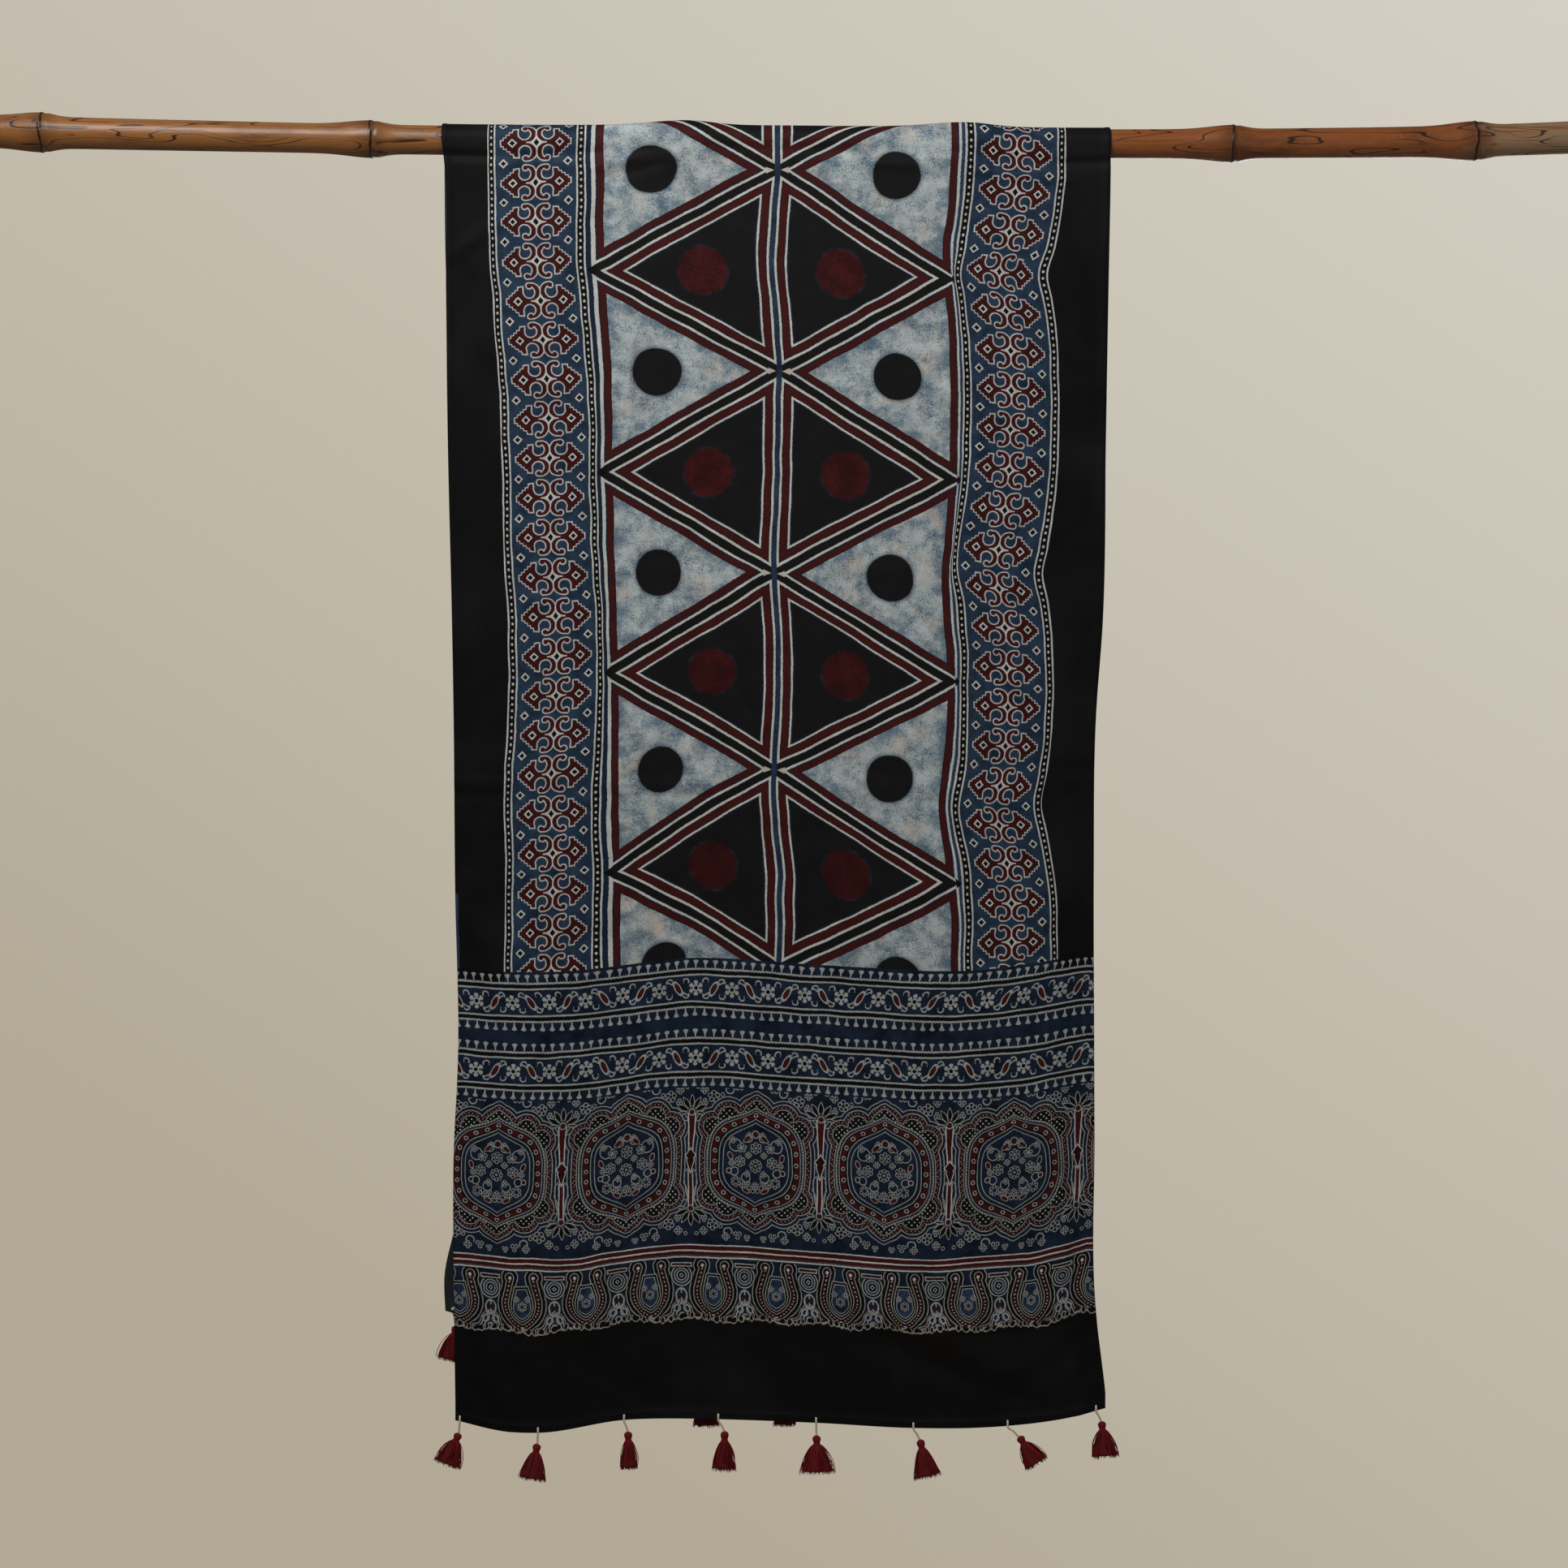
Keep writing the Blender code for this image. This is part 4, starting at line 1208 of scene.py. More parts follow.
def pots(tree, across, along, hem):
    """A row of lyre-shaped pots with two curled horns each: nested outlines, a dotted madder band and
    flowers inside. A small round medallion under a bar stands on a leafy foot between them, and lace runs
    below."""
    x = folded(across - POT_START, POT_PITCH)
    y = hem - POT_MIDDLE
    gap = POT_PITCH / 2 - x
    colour = mottled_indigo(tree, PANEL_DEEP, PANEL_INDIGO)
    lean = spread(y, 3.0, 19.0) * 4.6
    tip = most(11.0 - x, 0.0) * spread(y, 1.0, -5.0) * 0.40
    reach = length(x + lean, least(y, 0.0)) - tip
    horn = length(x - 10.0, y - 21.5) - 3.4
    pot = least(most(abs(reach - 14.2) - 2.5, y - 21.0), horn)

    # Outlines beyond the pot.
    colour = laid(colour, BLACK, inked(pot - 3.6))
    colour = laid(colour, PANEL_LINE, stripe(pot, 3.3, 3.95))
    outer = pot + worked("COSINE", worked("ARCTAN2", x, y) * 12.0) * 0.9
    colour = laid(colour, PANEL_LINE, stripe(outer, 6.1, 6.7) * inked(y + 1.0))
    colour = laid(colour, MADDER_DARK, stripe(outer, 4.6, 6.0) * inked(y + 1.0))
    colour = laid(colour, UNDYED, stripe(outer, 8.1, 8.7) * inked(y + 6.0))

    # The small round medallion between two pots, with its bar and its foot.
    foot = least(abs(length(gap, (y + 3.5) * 0.75) - 4.4), abs(gap - most(y * -0.45 - 3.0, 0.0)))
    foot = least(foot, abs(length(gap - 4.2, y + 13.0) - 2.6), abs(length(gap, y + 19.0) - 2.4))
    colour = laid(colour, PANEL_LINE, inked(foot - 0.5) * inked(y - 5.0) * inked(y * -1.0 - 21.0))
    colour = laid(colour, MADDER, inked(length(gap, y + 3.0) - 1.8))
    disc = length(gap, y - 12.8)
    colour = laid(colour, BLACK, inked(disc - 9.6))
    colour = laid(colour, PANEL_LINE, stripe(disc, 7.9, 8.8) + stripe(disc, 5.6, 6.4))
    colour = laid(colour, INDIGO, inked(disc - 5.6))
    colour = laid(colour, PANEL_LINE, stripe(disc, 3.4, 4.1))
    colour = laid(colour, BLACK, inked(disc - 3.4))
    colour = laid(colour, PANEL_LINE, line(gap + abs(y - 12.8) - 1.6, 0.45))
    bar = most(gap - 7.6, abs(y - 21.8) - 0.9)
    colour = laid(colour, BLACK, inked(bar - 1.9))
    colour = outlined(colour, bar - 0.9, 0.9, PANEL_LINE, MADDER_DARK)

    # The pot's own nested outlines.
    colour = laid(colour, BLACK, inked(pot - 1.4))
    colour = laid(colour, PANEL_LINE, inked(pot - 0.6))
    colour = laid(colour, BLACK, inked(pot))
    colour = laid(colour, MADDER_DARK, inked(pot + 0.6))
    dots = length(abs(reach - 14.2), repeated(y * 0.9 + x * 0.5, 2.7)) - 0.5
    colour = laid(colour, UNDYED, inked(pot + 1.2) * inked(dots))
    cup = most(reach - 9.4, y - 15.0)
    colour = laid(colour, PANEL_LINE, inked(cup))
    colour = laid(colour, BLACK, inked(cup + 0.65))
    colour = laid(colour, PANEL_LINE, inked(cup + 2.3))
    ground = mottled_indigo(tree, PANEL_DEEP, INDIGO)
    colour = laid(colour, ground, inked(cup + 2.9))
    blooms = least(blossom(x, y + 1.5, 6, 2.7, 1.25), blossom(x - 4.6, y - 4.4, 4, 1.4, 1.1))
    colour = outlined(colour, blooms, 0.5, PANEL_LINE, BLACK)
    colour = laid(colour, MADDER, inked(length(x, y + 1.5) - 1.2))
    colour = laid(colour, UNDYED, inked(length(x - 9.6, y - 21.2) - 1.3))

    # The lace edge.
    sway = worked("SINE", across * 0.47) * 1.5 + worked("SINE", across * 0.171) * 1.9
    lace_x = folded(across + sway, LACE_PITCH)
    wave = worked("SINE", across * (2 * np.pi / POT_PITCH)) * 1.6
    drop = hem + wave + worked("SINE", across * 0.83) * 0.55
    lace = length(lace_x, (drop - 83.2) * 0.85)
    colour = laid(colour, BLACK, inked(drop - 84.5))
    colour = laid(colour, LACE_THREAD, line(lace - 2.3, 0.38) * inked(drop - 85.2))
    colour = laid(colour, BLACK, inked(lace - 1.7) * 0.8)
    knots = length(LACE_PITCH / 2 - lace_x, (drop - 81.6) * 0.7) - 0.7
    colour = laid(colour, LACE_THREAD, inked(knots))
    return laid(colour, BLACK, inked(drop - 80.0))


CLOTH_MATERIALS = [
    printed_material("plain_black_bands", plain_black, 0.35),
    printed_material("left_border_print", left_border),
    printed_material("right_border_print", right_border),
    printed_material("field_print", field),
    printed_material("floral_band_print", floral_bands),
    printed_material("medallion_print", medallion_zone),
    printed_material("pot_row_print", pots),
]
ZONE_PLAIN, ZONE_LEFT, ZONE_RIGHT, ZONE_FIELD, ZONE_BANDS, ZONE_MEDALLIONS, ZONE_POTS = range(7)


def zone_of(across, along):
    """Which zone of the print a place on the cloth is in."""
    hem = np.minimum(along, CLOTH_LENGTH - along)
    by_column = np.array((ZONE_PLAIN, ZONE_LEFT, ZONE_FIELD, ZONE_RIGHT, ZONE_PLAIN))
    by_row = np.array((ZONE_PLAIN, ZONE_POTS, ZONE_MEDALLIONS, ZONE_BANDS))
    column_zone = by_column[np.searchsorted(ZONE_COLUMNS, across)]
    row = np.searchsorted((PAISLEY_FROM, MEDALLION_FROM, BAND_FROM, FIELD_FROM), hem)
    return np.where(row == 4, column_zone, by_row[np.minimum(row, 3)])


def sheet_half(across, along):
    """Half the sheet's thickness: more at the hems, where the cloth is turned twice."""
    hem = np.minimum(along, CLOTH_LENGTH - along)
    side = np.minimum(across, CLOTH_WIDTH - across)
    end_hem = 1 - ease(END_HEM_DEPTH, END_HEM_DEPTH + HEM_EASE, hem)
    side_hem = 1 - ease(SIDE_HEM_DEPTH, SIDE_HEM_DEPTH + HEM_EASE, side)
    turned_in = np.maximum(end_hem, side_hem)
    edge = ease(0.0, 0.0012, np.minimum(hem, side))
    return (SHEET_HALF + (HEM_HALF - SHEET_HALF) * turned_in) * (0.55 + 0.45 * edge)


def make_stole():
    """The stole: a right side and a reverse of the hung sheet, half its thickness to each side of its
    middle, closed round its edge."""
    columns = cloth_columns()
    rows = cloth_rows()
    across, along = np.meshgrid(columns, rows)
    middle = hung_point(across, along)
    normals = grid_normals(middle)
    half = sheet_half(across, along)[..., None]
    face = middle + normals * half
    back = middle - normals * half
    count = len(rows) * len(columns)
    points = np.concatenate([face.reshape(-1, 3), back.reshape(-1, 3)])
    top = grid_quads(len(rows), len(columns))
    under = grid_quads(len(rows), len(columns), count)[:, ::-1]
    number = np.arange(count).reshape(len(rows), len(columns))
    edge = np.concatenate([number[0, :-1], number[:-1, -1], number[-1, :0:-1], number[:0:-1, 0]])
    after = np.roll(edge, -1)
    rim = np.stack([edge, edge + count, after + count, after], 1)
    quads = np.concatenate([top, under, rim])
    mesh = make_mesh("printed_stole", points, quads)

    print_place = np.stack([across, along], -1).reshape(-1, 2)
    print_place = np.concatenate([print_place, print_place])
    corners = quads.ravel()
    mesh.uv_layers.new(name="print").data.foreach_set("uv", print_place[corners].astype(np.float32).ravel())
    reverse = np.repeat((0.0, 1.0), count)
    attribute = mesh.attributes.new("reverse", "FLOAT", "POINT")
    attribute.data.foreach_set("value", reverse.astype(np.float32))
    bake_across = print_place[:, 0] / CLOTH_WIDTH * 0.46 + 0.02
    bake_along = print_place[:, 1] / CLOTH_LENGTH * 0.96 + 0.02
    bake = np.stack([bake_across, bake_along], 1)
    bake_corners = bake[corners] + np.stack([0.5 * reverse[corners], 0 * corners], 1)
    rim_from = 4 * (len(top) + len(under))
    outward = np.sign(print_place[corners[rim_from:]] - np.array((CLOTH_WIDTH, CLOTH_LENGTH)) / 2)
    on_under = reverse[corners[rim_from:], None]
    bake_corners[rim_from:] = bake[corners[rim_from:]] + 0.004 * outward * on_under
    mesh.uv_layers.new(name="OFBake").data.foreach_set("uv", bake_corners.astype(np.float32).ravel())

    centre_across = across[:-1, :-1] + np.diff(across, axis=1)[:-1] / 2
    centre_along = along[:-1, :-1] + np.diff(along, axis=0)[:, :-1] / 2
    zones = zone_of(centre_across, centre_along)
    edge_zones = np.concatenate([zones[0], zones[:, -1], zones[-1, ::-1], zones[::-1, 0]])
    all_zones = np.concatenate([zones.ravel(), zones.ravel(), edge_zones]).astype(np.int32)
    mesh.polygons.foreach_set("material_index", all_zones)
    stole = add_piece("printed_stole", mesh, "printed_cloth", *CLOTH_MATERIALS)
    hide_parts("stole")
    return stole


# ---------------------------------------------------------------------------------------------------------
# The pole.
# ---------------------------------------------------------------------------------------------------------
POLE_SIDES = 64
POLE_STATIONS = 321
NODE_RING_HALF = 0.0010
NODE_RING_RISE = 0.0004
NODE_SCAR_AFTER = 0.0032
NODE_SCAR_HALF = 0.0014
NODE_SCAR_DEPTH = 0.0005

SCORCH = (0.0140, 0.0050, 0.0025, 1.0)
AMBER = (0.2700, 0.1120, 0.0320, 1.0)
AMBER_RED = (0.2700, 0.0850, 0.0230, 1.0)
AMBER_DARK = (0.0800, 0.0270, 0.0090, 1.0)
RUBBED = (0.3000, 0.2000, 0.1150, 1.0)


def tube_quads(rings, sides, tubes=1):
    """Corner numbers of closed tubes: the quads of their rings and a ladder of quads over each end."""
    wall = closed_strip_quads(sides, rings)
    rung = np.arange(sides // 2 - 1)
    lid = np.stack([rung, rung + 1, sides - 2 - rung, sides - 1 - rung], 1)
    one = np.concatenate([wall, lid[:, ::-1], lid + (rings - 1) * sides])
    return (one + np.arange(tubes)[:, None, None] * rings * sides).reshape(-1, 4)


def pole_radius(along):
    """The pole's radius: its plain radius, each node's swelling, a thin ring on it and a scar beyond."""
    rings = sum(bell(along - place, NODE_RING_HALF) for place in NODE_PLACES)
    scars = sum(bell(along - place - NODE_SCAR_AFTER, NODE_SCAR_HALF) for place in NODE_PLACES)
    swell = NODE_RISE * swelling(along, NODE_FLARE_BEFORE, NODE_FLARE_AFTER)
    return pole_plain_radius(along) + swell + NODE_RING_RISE * rings - NODE_SCAR_DEPTH * scars


def stretched_noise(tree, place, counts, detail, roughness):
    """Noise with its own count per metre along each axis."""
    stretched = vector_worked(tree, "MULTIPLY", place, counts)
    return Value(noise(tree, stretched, 1.0, detail, roughness).outputs["Fac"])


def make_bamboo_material():
    """Lacquered bamboo: amber to red-brown skin with long fibres, scorched streaks and loops, dark node
    rings and a rubbed pale patch."""
    material, tree, shader = new_material("bamboo_skin", 0.25)
    place = tree.nodes.new("ShaderNodeTexCoord").outputs["Object"]
    along, _, _ = parts_of(tree, place)
    fibres = stretched_noise(tree, place, (9.0, 700.0, 700.0), 3.0, 0.6)
    cloud = stretched_noise(tree, place, (16.0, 60.0, 60.0), 4.0, 0.6)
    loops = stretched_noise(tree, place, (11.0, 78.0, 78.0), 1.0, 0.5)
    patches = stretched_noise(tree, place, (7.0, 40.0, 40.0), 1.0, 0.5)
    specks = Value(noise(tree, place, 420.0, 1.0, 0.5).outputs["Fac"])
    red = laid(AMBER, AMBER_RED, spread(along, -0.25, 0.30))
    colour = laid(red, AMBER_DARK, spread(cloud, 0.50, 0.72) * 0.75)
    colour = laid(colour, AMBER_DARK, spread(fibres, 0.52, 0.75) * 0.45)
    colour = laid(colour, (0.45, 0.10, 0.02, 1.0), spread(specks, 0.66, 0.72) * 0.6)
    rubbed = spread(along + (cloud - 0.5) * 0.10, 0.570, 0.590) * spread(fibres + cloud * 0.5, 0.58, 0.74)
    colour = laid(colour, RUBBED, rubbed)
    lines = line(loops - 0.47, 0.010, 0.004) * spread(patches, 0.38, 0.46)
    lines = most(lines, line(loops - 0.58, 0.008, 0.004) * spread(patches, 0.60, 0.50))
    colour = laid(colour, SCORCH, lines * 0.9)
    wander = (cloud - 0.5) * 0.008
    ring = None
    for node in NODE_PLACES:
        offset = abs(along + wander - node)
        ring = offset if ring is None else least(ring, offset)
    colour = laid(colour, AMBER_DARK, spread(ring, 0.016, 0.003) * 0.55)
    colour = laid(colour, SCORCH, inked(ring - 0.0010, 0.0005))
    ends = inked(POLE_HALF_LENGTH - 0.0006 - abs(along), 0.0002)
    colour = laid(colour, (0.55, 0.42, 0.25, 1.0), ends)
    feed(shader.inputs["Base Color"], colour)
    feed(shader.inputs["Roughness"], scaled(cloud, 0.30, 0.22) + rubbed * 0.3)
    shader.inputs["Coat Weight"].default_value = 0.05
    shader.inputs["Specular IOR Level"].default_value = 0.35
    shader.inputs["Coat Roughness"].default_value = 0.18
    feed_bump(tree, shader, fibres * 0.5 + cloud - lines * 0.6, 0.0004, 0.5)
    return material


def make_pole():
    """The pole: rings about its bowed axis, its node rings a little ragged round the pole, and flat ends."""
    close = [place + np.linspace(-0.006, 0.009, 19) for place in NODE_PLACES]
    even = np.linspace(-POLE_HALF_LENGTH, POLE_HALF_LENGTH, POLE_STATIONS)
    stations = np.unique(np.concatenate([even, *close]))
    along, turn = np.meshgrid(stations, np.linspace(0, 2 * np.pi, POLE_SIDES, endpoint=False), indexing="ij")
    ragged = 0.0005 * np.sin(5 * turn + 40 * along) + 0.0003 * np.sin(11 * turn)
    inside = np.minimum(1.0, (POLE_HALF_LENGTH - abs(along)) / 0.004)
    radius = pole_radius(along + ragged * inside) - 0.0008 * (1 - inside) ** 2
    points = np.stack([along, radius * np.cos(turn), pole_height(along) + radius * np.sin(turn)], -1)
    mesh = make_mesh("bamboo_culm", points.reshape(-1, 3), tube_quads(len(stations), POLE_SIDES))
    pole = add_piece("bamboo_culm", mesh, "bamboo", make_bamboo_material())
    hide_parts("bamboo_pole")


# ---------------------------------------------------------------------------------------------------------
# The tassels and their cords.
# ---------------------------------------------------------------------------------------------------------
# THREAD_DARK serves both the darker strands and the painted shade between the head's ribs; CORD_SHADE is the
# painted shade between the cord's plies.
THREAD_CRIMSON = (0.2300, 0.0100, 0.0150, 1.0)
THREAD_DARK = (0.0600, 0.0045, 0.0060, 1.0)
CORD_WHITE = (0.8000, 0.7000, 0.5400, 1.0)
CORD_SHADE = (0.4000, 0.3300, 0.2400, 1.0)

STRAND_COUNT = 128
STRAND_POINTS = 10
STRAND_RADIUS = 0.00038
STRAND_FROM = 0.22
HEAD_SIDES = 40
CORE_SIDES = 16
HeadRing = namedtuple("HeadRing", "share radius")
HEAD_RINGS = (
    HeadRing(0.00, 0.0007),
    HeadRing(0.03, 0.0023),
    HeadRing(0.07, 0.0031),
    HeadRing(0.12, 0.0032),
    HeadRing(0.17, 0.0027),
    HeadRing(0.21, 0.0024),
    HeadRing(0.30, 0.0028),
    HeadRing(0.42, 0.0030),
)
HEAD_THREADS = 20
WRAP_FROM = 0.19
WRAP_TO = 0.27
WRAP_TURNS = 5
WRAP_RISE = 0.00032

CORD_RADIUS = 0.0009
CORD_SIDES = 12
CORD_STATIONS = 44
CORD_TWIST = 0.0042
CORD_HOLE_RISE = 0.0040
KNOT_RADIUS = 0.0019


def rings_along(path, radius_side, radius_ahead, turn):
    """Rings of points about paths that run down: path + side r cos(turn) + ahead r sin(turn)."""
    run = np.gradient(path, axis=-2)
    run /= np.linalg.norm(run, axis=-1, keepdims=True)
    side = np.cross((0.0, 1.0, 0.0), run)
    side /= np.linalg.norm(side, axis=-1, keepdims=True)
    ahead = np.cross(run, side)
    wide = (radius_side * np.cos(turn))[..., None] * side[..., None, :]
    deep = (radius_ahead * np.sin(turn))[..., None] * ahead[..., None, :]
    return path[..., None, :] + wide + deep


def make_thread_material(name, colour, shade):
    """Cotton thread: colour that changes from strand to strand, with painted shade in the grooves between
    the head's ribs and between the cord's plies, and a fine twist.
    """
    material, tree, shader = new_material(name, 0.75)
    strand = tree.nodes.new("ShaderNodeAttribute")
    strand.attribute_name = "strand"
    place = tree.nodes.new("ShaderNodeTexCoord").outputs["Object"]
    fuzz = Value(noise(tree, place, 1500.0, 2.0, 0.6).outputs["Fac"])
    # The strand attribute carries each strand's own tone and painted shade in the grooves.
    depth = Value(strand.outputs["Fac"]) * 0.75 + spread(fuzz, 0.35, 0.65) * 0.35
    feed(shader.inputs["Base Color"], laid(colour, shade, worked("MULTIPLY", depth, 1.0, clamp=True)))
    feed(shader.inputs["Roughness"], scaled(fuzz, 0.3, 0.6))
    shader.inputs["Specular IOR Level"].default_value = 0.15
    feed_bump(tree, shader, fuzz, 0.0002, 0.6)
    return material


def tassel_head(head, tip):
    """The ball of folded threads, tied below by a wound neck: ribs run down the ball and round the neck."""
    share = np.linspace(0.0, 0.42, 40)[:, None]
    turn = np.linspace(0, 2 * np.pi, HEAD_SIDES, endpoint=False)
    plain = smooth_at(column(HEAD_RINGS, "share"), column(HEAD_RINGS, "radius"), share)
    wound = ease(WRAP_FROM - 0.02, WRAP_FROM, share) * (1 - ease(WRAP_TO, WRAP_TO + 0.02, share))
    ribs = 0.00016 * np.cos(HEAD_THREADS * turn) * ease(0.0, 0.05, share) * (1 - wound)
    wrap_turn = np.pi * WRAP_TURNS * (share - WRAP_FROM) / (WRAP_TO - WRAP_FROM)
    wraps = WRAP_RISE * np.abs(np.sin(wrap_turn)) * wound
    radius = plain + ribs + wraps
    path = head + (tip - head) * share
    return rings_along(path, radius, radius, turn)


def tassel_core(head, tip, half_width):
    """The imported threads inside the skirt, narrower and shorter than the loose ones round them."""
    share = np.linspace(0.26, 0.90, 12)[:, None]
    turn = np.linspace(0, 2 * np.pi, CORE_SIDES, endpoint=False)
    open_share = ((share - 0.22) / 0.78) ** 0.68
    lumps = 1 + 0.10 * np.cos(5 * turn + 9 * share)
    path = head + (tip - head) * share
    wide = (0.0020 + 0.74 * half_width * open_share) * lumps
    deep = (0.0020 + 0.74 * half_width * SKIRT_DEPTH * open_share) * lumps
    return rings_along(path, wide, deep, turn)


def tassel_strands(head, tip, half_width, random):
    """Loose strands from the neck to the skirt's oval end, each with its own length, bend and wave:
    place = neck + (end - neck) t^0.68 + bend sin(pi t) + wave t^2 sin(w t)."""
    down = tip - head
    side = np.cross((0.0, 1.0, 0.0), down)
    side /= np.linalg.norm(side)
    ahead = np.array((0.0, 1.0, 0.0))
    turn = random.uniform(0, 2 * np.pi, STRAND_COUNT)
    out = np.sqrt(random.uniform(0.12, 1.0, STRAND_COUNT))
    reach = random.normal(0.965, 0.02, STRAND_COUNT).clip(0.90, 1.0)
    bend = random.normal(0.0, 0.0011, (2, STRAND_COUNT))
    wave = random.uniform(0.0, 0.0007, STRAND_COUNT)
    speed = random.uniform(5.0, 11.0, STRAND_COUNT)
    t = np.linspace(0.0, 1.0, STRAND_POINTS)[:, None]
    share = STRAND_FROM + (reach - STRAND_FROM) * t
    grown = t**0.68
    wide = np.cos(turn) * out * (0.0024 * (1 - grown) + half_width * 0.96 * grown)
    deep = np.sin(turn) * out * (0.0024 * (1 - grown) + half_width * SKIRT_DEPTH * grown)
    wide = wide + bend[0] * np.sin(np.pi * t) + wave * t**2 * np.sin(speed * t)
    deep = deep + bend[1] * np.sin(np.pi * t) + wave * t**2 * np.cos(speed * t)
    path = head + share[..., None] * down + wide[..., None] * side + deep[..., None] * ahead
    path = path.transpose(1, 0, 2)
    quarter = np.array((0.25, 0.75, 1.25, 1.75)) * np.pi
    thick = STRAND_RADIUS * np.minimum(1.0, 0.35 + 6 * (1 - t))
    return rings_along(path, thick, thick, quarter)


def make_tassel(name, head, tip, half_width, material, random):
    """A tassel in one mesh: head and neck, core, and strands."""
    top = tassel_head(head, tip)
    core = tassel_core(head, tip, half_width)
    strands = tassel_strands(head, tip, half_width, random)
    points = [top.reshape(-1, 3), core.reshape(-1, 3), strands.reshape(-1, 3)]
    firsts = np.cumsum([0, *[len(part) for part in points]])
    quads = np.concatenate([
        tube_quads(len(top), HEAD_SIDES) + firsts[0],
        tube_quads(len(core), CORE_SIDES) + firsts[1],
        tube_quads(STRAND_POINTS, 4, STRAND_COUNT) + firsts[2],
    ])
    mesh = make_mesh(name + "_threads", np.concatenate(points), quads)
    turn = np.linspace(0, 2 * np.pi, HEAD_SIDES, endpoint=False)
    # Painted shade: the head darkens in the grooves between its ribs and is lighter on their crests.
    ribs = np.tile(0.5 + 0.5 * np.cos(HEAD_THREADS * turn), len(top))
    tints = np.repeat(random.uniform(0.0, 0.9, STRAND_COUNT), STRAND_POINTS * 4)
    groove_shade_and_tone = np.concatenate([0.6 - 0.5 * ribs, np.full(core.size // 3, 0.75), tints])
    mesh.attributes.new("strand", "FLOAT", "POINT").data.foreach_set("value", groove_shade_and_tone.astype(np.float32))
    tassel = add_piece(name + "_threads", mesh, "tassel_thread", material)
    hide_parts(name)


def make_cord(name, node, hang, head, facing, material):
    """A two-ply cord: up from the tassel's head over the hem's face, through the hem to a knot behind it.
    Its outline turns along it: radius = r (0.84 + 0.16 |cos(turn - 2 pi s / twist)|)."""
    proud = np.array((0.0, facing * (CORD_RADIUS + HEM_HALF + 0.0002), 0.0))
    hole = hang + np.array((0.0, 0.0, CORD_HOLE_RISE))
    corners = np.array((
        hole - proud * 1.25 - np.array((0.0, 0.0, 0.0016)),
        hole - proud * 1.05,
        hole + proud * 0.3,
        hole + proud - np.array((0.0, 0.0, 0.0010)),
        hang + proud - np.array((0.0, 0.0, 0.0006)),
        hang * 0.5 + head * 0.5 + proud * 0.45,
        head + np.array((0.0, 0.0, -0.0010)),
    ))
    lengths = np.concatenate([[0.0], np.cumsum(np.linalg.norm(np.diff(corners, axis=0), axis=1))])
    walked = np.linspace(0.0, lengths[-1], CORD_STATIONS)
    path = np.stack([smooth_at(lengths, corners[:, k], walked) for k in range(3)], -1)
    run = np.gradient(path, axis=0)
    run /= np.linalg.norm(run, axis=1, keepdims=True)
    side = np.tile((1.0, 0.0, 0.0), (CORD_STATIONS, 1))
    side -= (side * run).sum(1, keepdims=True) * run
    side /= np.linalg.norm(side, axis=1, keepdims=True)
    ahead = np.cross(run, side)
    turn = np.linspace(0, 2 * np.pi, CORD_SIDES, endpoint=False)
    twist = turn[None] - 2 * np.pi * walked[:, None] / CORD_TWIST
    knot = (KNOT_RADIUS - CORD_RADIUS) * bell(walked[:, None] - 0.0009, 0.0012)
    rounded = np.minimum(1.0, 0.45 + walked[:, None] / 0.0012)
    radius = (CORD_RADIUS * (0.84 + 0.16 * np.abs(np.cos(twist))) + knot) * rounded
    wide = (radius * np.cos(turn))[..., None] * side[:, None]
    deep = (radius * np.sin(turn))[..., None] * ahead[:, None]
    rings = path[:, None] + wide + deep
    mesh = make_mesh(name, rings.reshape(-1, 3), tube_quads(CORD_STATIONS, CORD_SIDES))
    # Painted shade: the cord darkens in the grooves between its two plies.
    groove_shade_and_tone = 1.0 - np.abs(np.cos(twist))
    strand = mesh.attributes.new("strand", "FLOAT", "POINT")
    strand.data.foreach_set("value", groove_shade_and_tone.ravel().astype(np.float32))
    cord = add_piece(name, mesh, "tassel_cord", material)
    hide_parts(node)


def make_tassels():
    """Both hems' tassels, each on its own cord."""
    thread = make_thread_material("crimson_thread", THREAD_CRIMSON, THREAD_DARK)
    twine = make_thread_material("undyed_cord", CORD_WHITE, CORD_SHADE)
    hems = (
        ("front", FRONT_TASSELS, FRONT_HEM, FRONT_FOLDS, -1, 0.0),
        ("back", BACK_TASSELS, BACK_HEM, BACK_FOLDS, 1, BACK_TRIM),
    )
    for label, tassels, hem, folds, facing, trim in hems:
        for number, row in enumerate(tassels, start=1):
            random = np.random.default_rng(100 * facing + 200 + number)
            height = smooth_at(column(hem, "across"), column(hem, "height"), row.hang_x)
            depth = facing * fall_depth(folds, row.hang_x, -height)
            hang = np.array((row.hang_x, depth, height), dtype=float)
            head = np.array((row.head_x, hang[1], row.head_z))
            tip = np.array((row.tip_x, hang[1], row.tip_z + trim))
            node = f"tassel_{label}_{number}"
            make_tassel(node, head, tip, row.half_width, thread, random)
            piece = f"twisted_cord_{label}_{number}"
            make_cord(piece, f"tassel_cord_{label}_{number}", hang, head, facing, twine)


# ---------------------------------------------------------------------------------------------------------
# The room: camera, lights, surround and floor.
# ---------------------------------------------------------------------------------------------------------
CAMERA_PLACE = (0.0074, -3.469, -0.5332)
CAMERA_LENS = 96.0
SENSOR_WIDTH = 36.0
FLOOR_HEIGHT = -1.45
FLOOR_RADIUS = 1.35
LIGHT_AIM = (0.0, 0.0, -0.45)
LAMP_WHITE = (1.0, 0.985, 0.96)
SURROUND_LOW = (0.445, 0.395, 0.307, 1.0)
SURROUND_HIGH = (0.660, 0.625, 0.545, 1.0)
FLOOR_SIDES = 96
FLOOR_COLOUR = (0.52, 0.49, 0.42, 1.0)


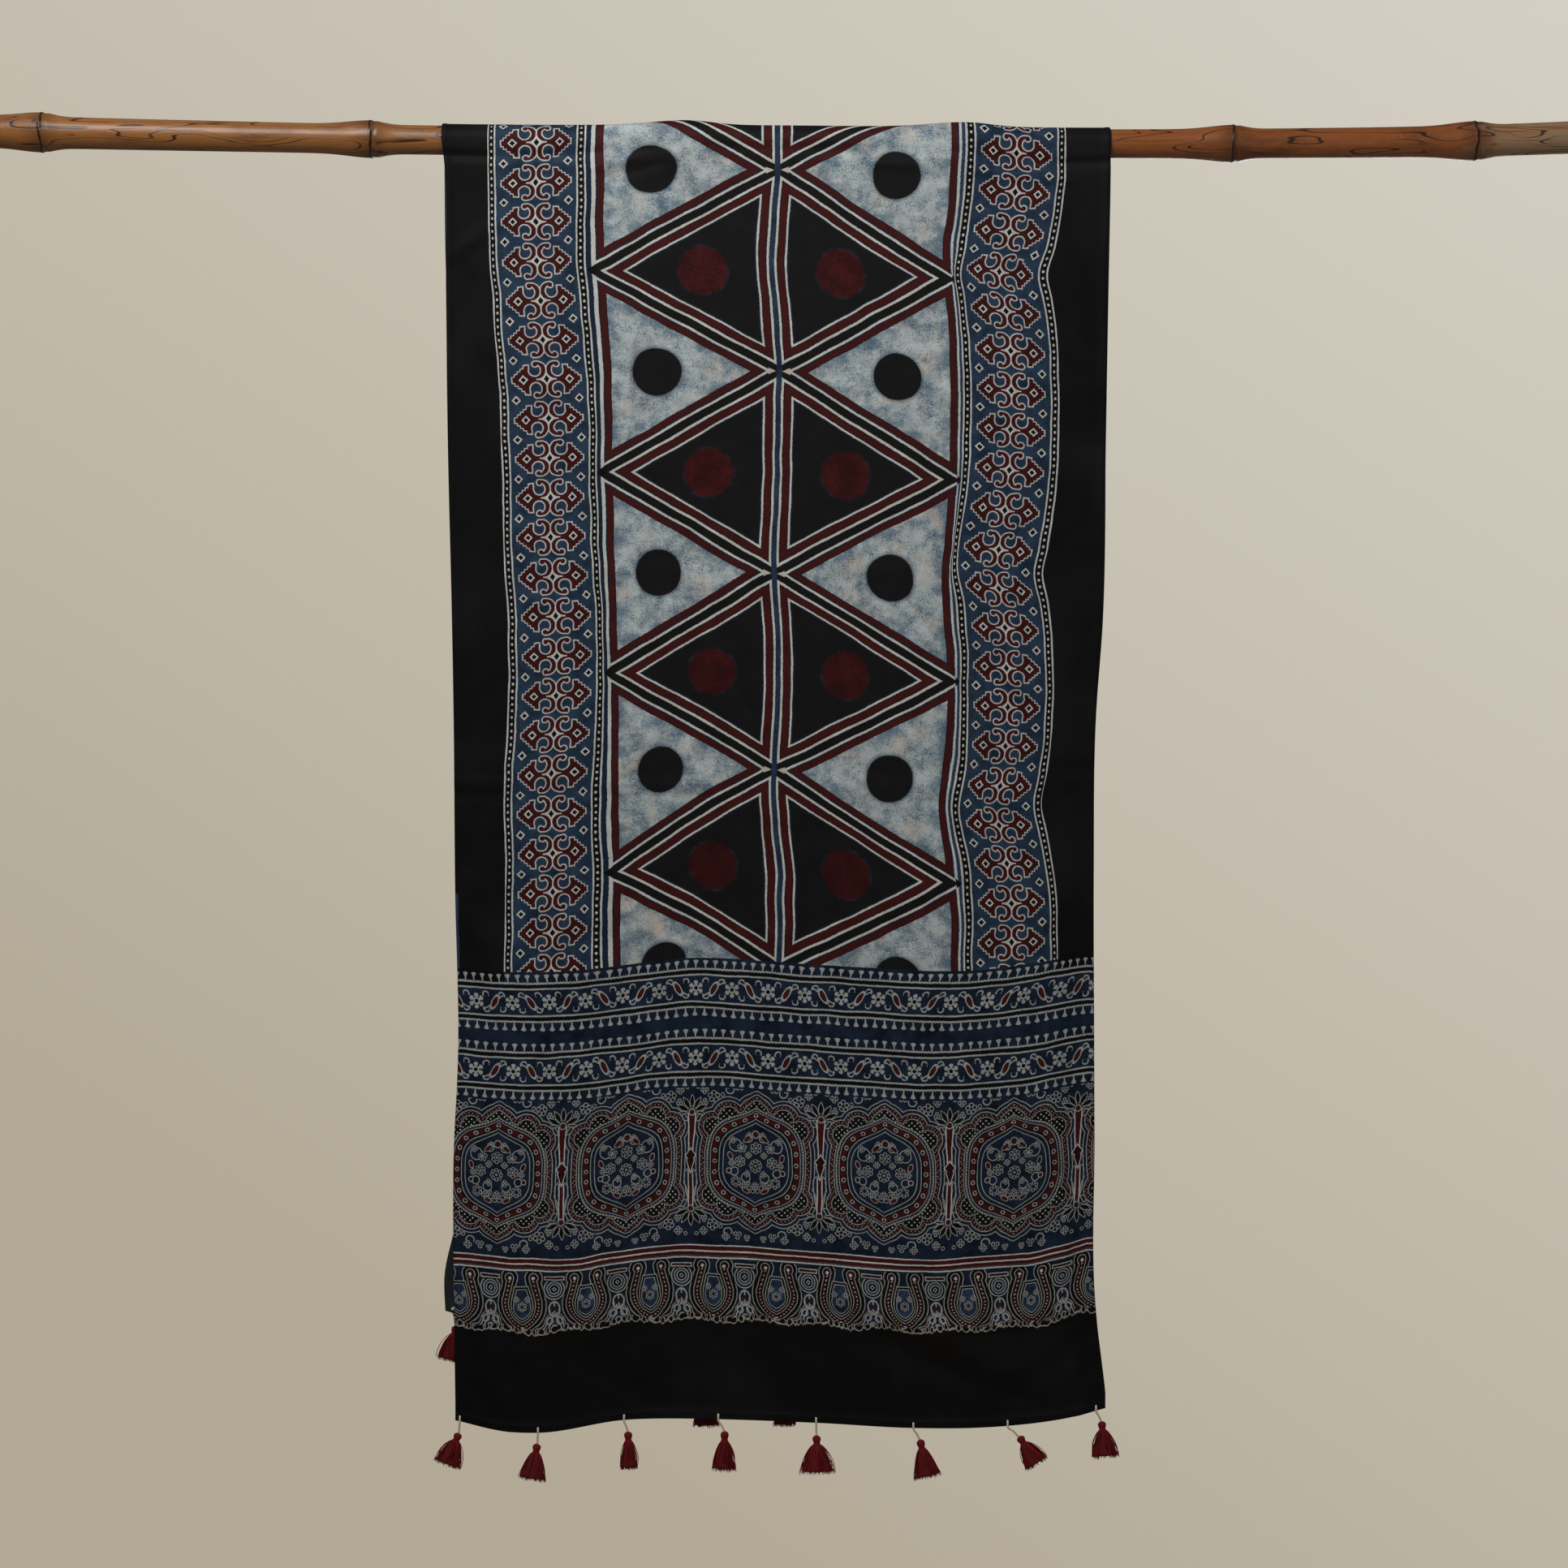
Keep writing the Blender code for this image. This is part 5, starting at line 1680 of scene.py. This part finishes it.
def make_camera():
    """The camera, level and square to the cloth."""
    data = bpy.data.cameras.new("camera")
    data.lens = CAMERA_LENS
    data.sensor_width = SENSOR_WIDTH
    camera = bpy.data.objects.new("camera", data)
    camera.location = CAMERA_PLACE
    camera.rotation_euler = (np.pi / 2, 0.0, 0.0)
    bpy.context.scene.collection.objects.link(camera)
    bpy.context.scene.camera = camera


def make_light(name, place, size, watts):
    """A soft square light that faces the cloth and doesn't itself show."""
    data = bpy.data.lights.new(name, "AREA")
    data.shape = "SQUARE"
    data.size = size
    data.energy = watts
    data.color = LAMP_WHITE
    light = bpy.data.objects.new(name, data)
    light.location = place
    light.rotation_euler = (Vector(LIGHT_AIM) - Vector(place)).to_track_quat("-Z", "Y").to_euler()
    light.visible_camera = False
    bpy.context.scene.collection.objects.link(light)


def make_world():
    """A warm pale surround, darker low down and on the left, that lights the cloth only softly."""
    world = bpy.data.worlds.new("studio")
    bpy.context.scene.world = world
    world.use_nodes = True
    tree = world.node_tree
    shade = tree.nodes["Background"]
    place = tree.nodes.new("ShaderNodeTexCoord").outputs["Generated"]
    side, _, height = parts_of(tree, place)
    seen = laid(SURROUND_LOW, SURROUND_HIGH, spread(height + side * 0.66, -0.19, 0.30))
    tree.links.new(seen, shade.inputs["Color"])
    path = tree.nodes.new("ShaderNodeLightPath")
    feed(shade.inputs["Strength"], scaled(Value(path.outputs["Is Camera Ray"]), 0.80, 0.20))


def make_floor():
    """A round pale floor below the tassels."""
    turn = np.linspace(0, 2 * np.pi, FLOOR_SIDES, endpoint=False)
    heights = np.full(FLOOR_SIDES, FLOOR_HEIGHT)
    rim = np.stack([FLOOR_RADIUS * np.cos(turn), FLOOR_RADIUS * np.sin(turn), heights], 1)
    mesh = bpy.data.meshes.new("floor")
    mesh.from_pydata(rim.tolist(), [], [list(range(FLOOR_SIDES))])
    material, _, shader = new_material("pale_floor", 0.8)
    shader.inputs["Base Color"].default_value = FLOOR_COLOUR
    mesh.materials.append(material)
    floor = bpy.data.objects.new("floor", mesh)
    bpy.context.scene.collection.objects.link(floor)


stole = make_stole()
make_pole()
make_tassels()
make_camera()
make_world()
make_floor()
make_light("key, high on the left", (-0.60, -1.20, 0.92), 0.8, 25.5)
make_light("fill", (1.6, -2.2, -0.1), 1.6, 6.0)
make_light("behind", (0.5, 2.4, -0.2), 1.6, 34.0)
bpy.context.scene.view_settings.view_transform = "Standard"
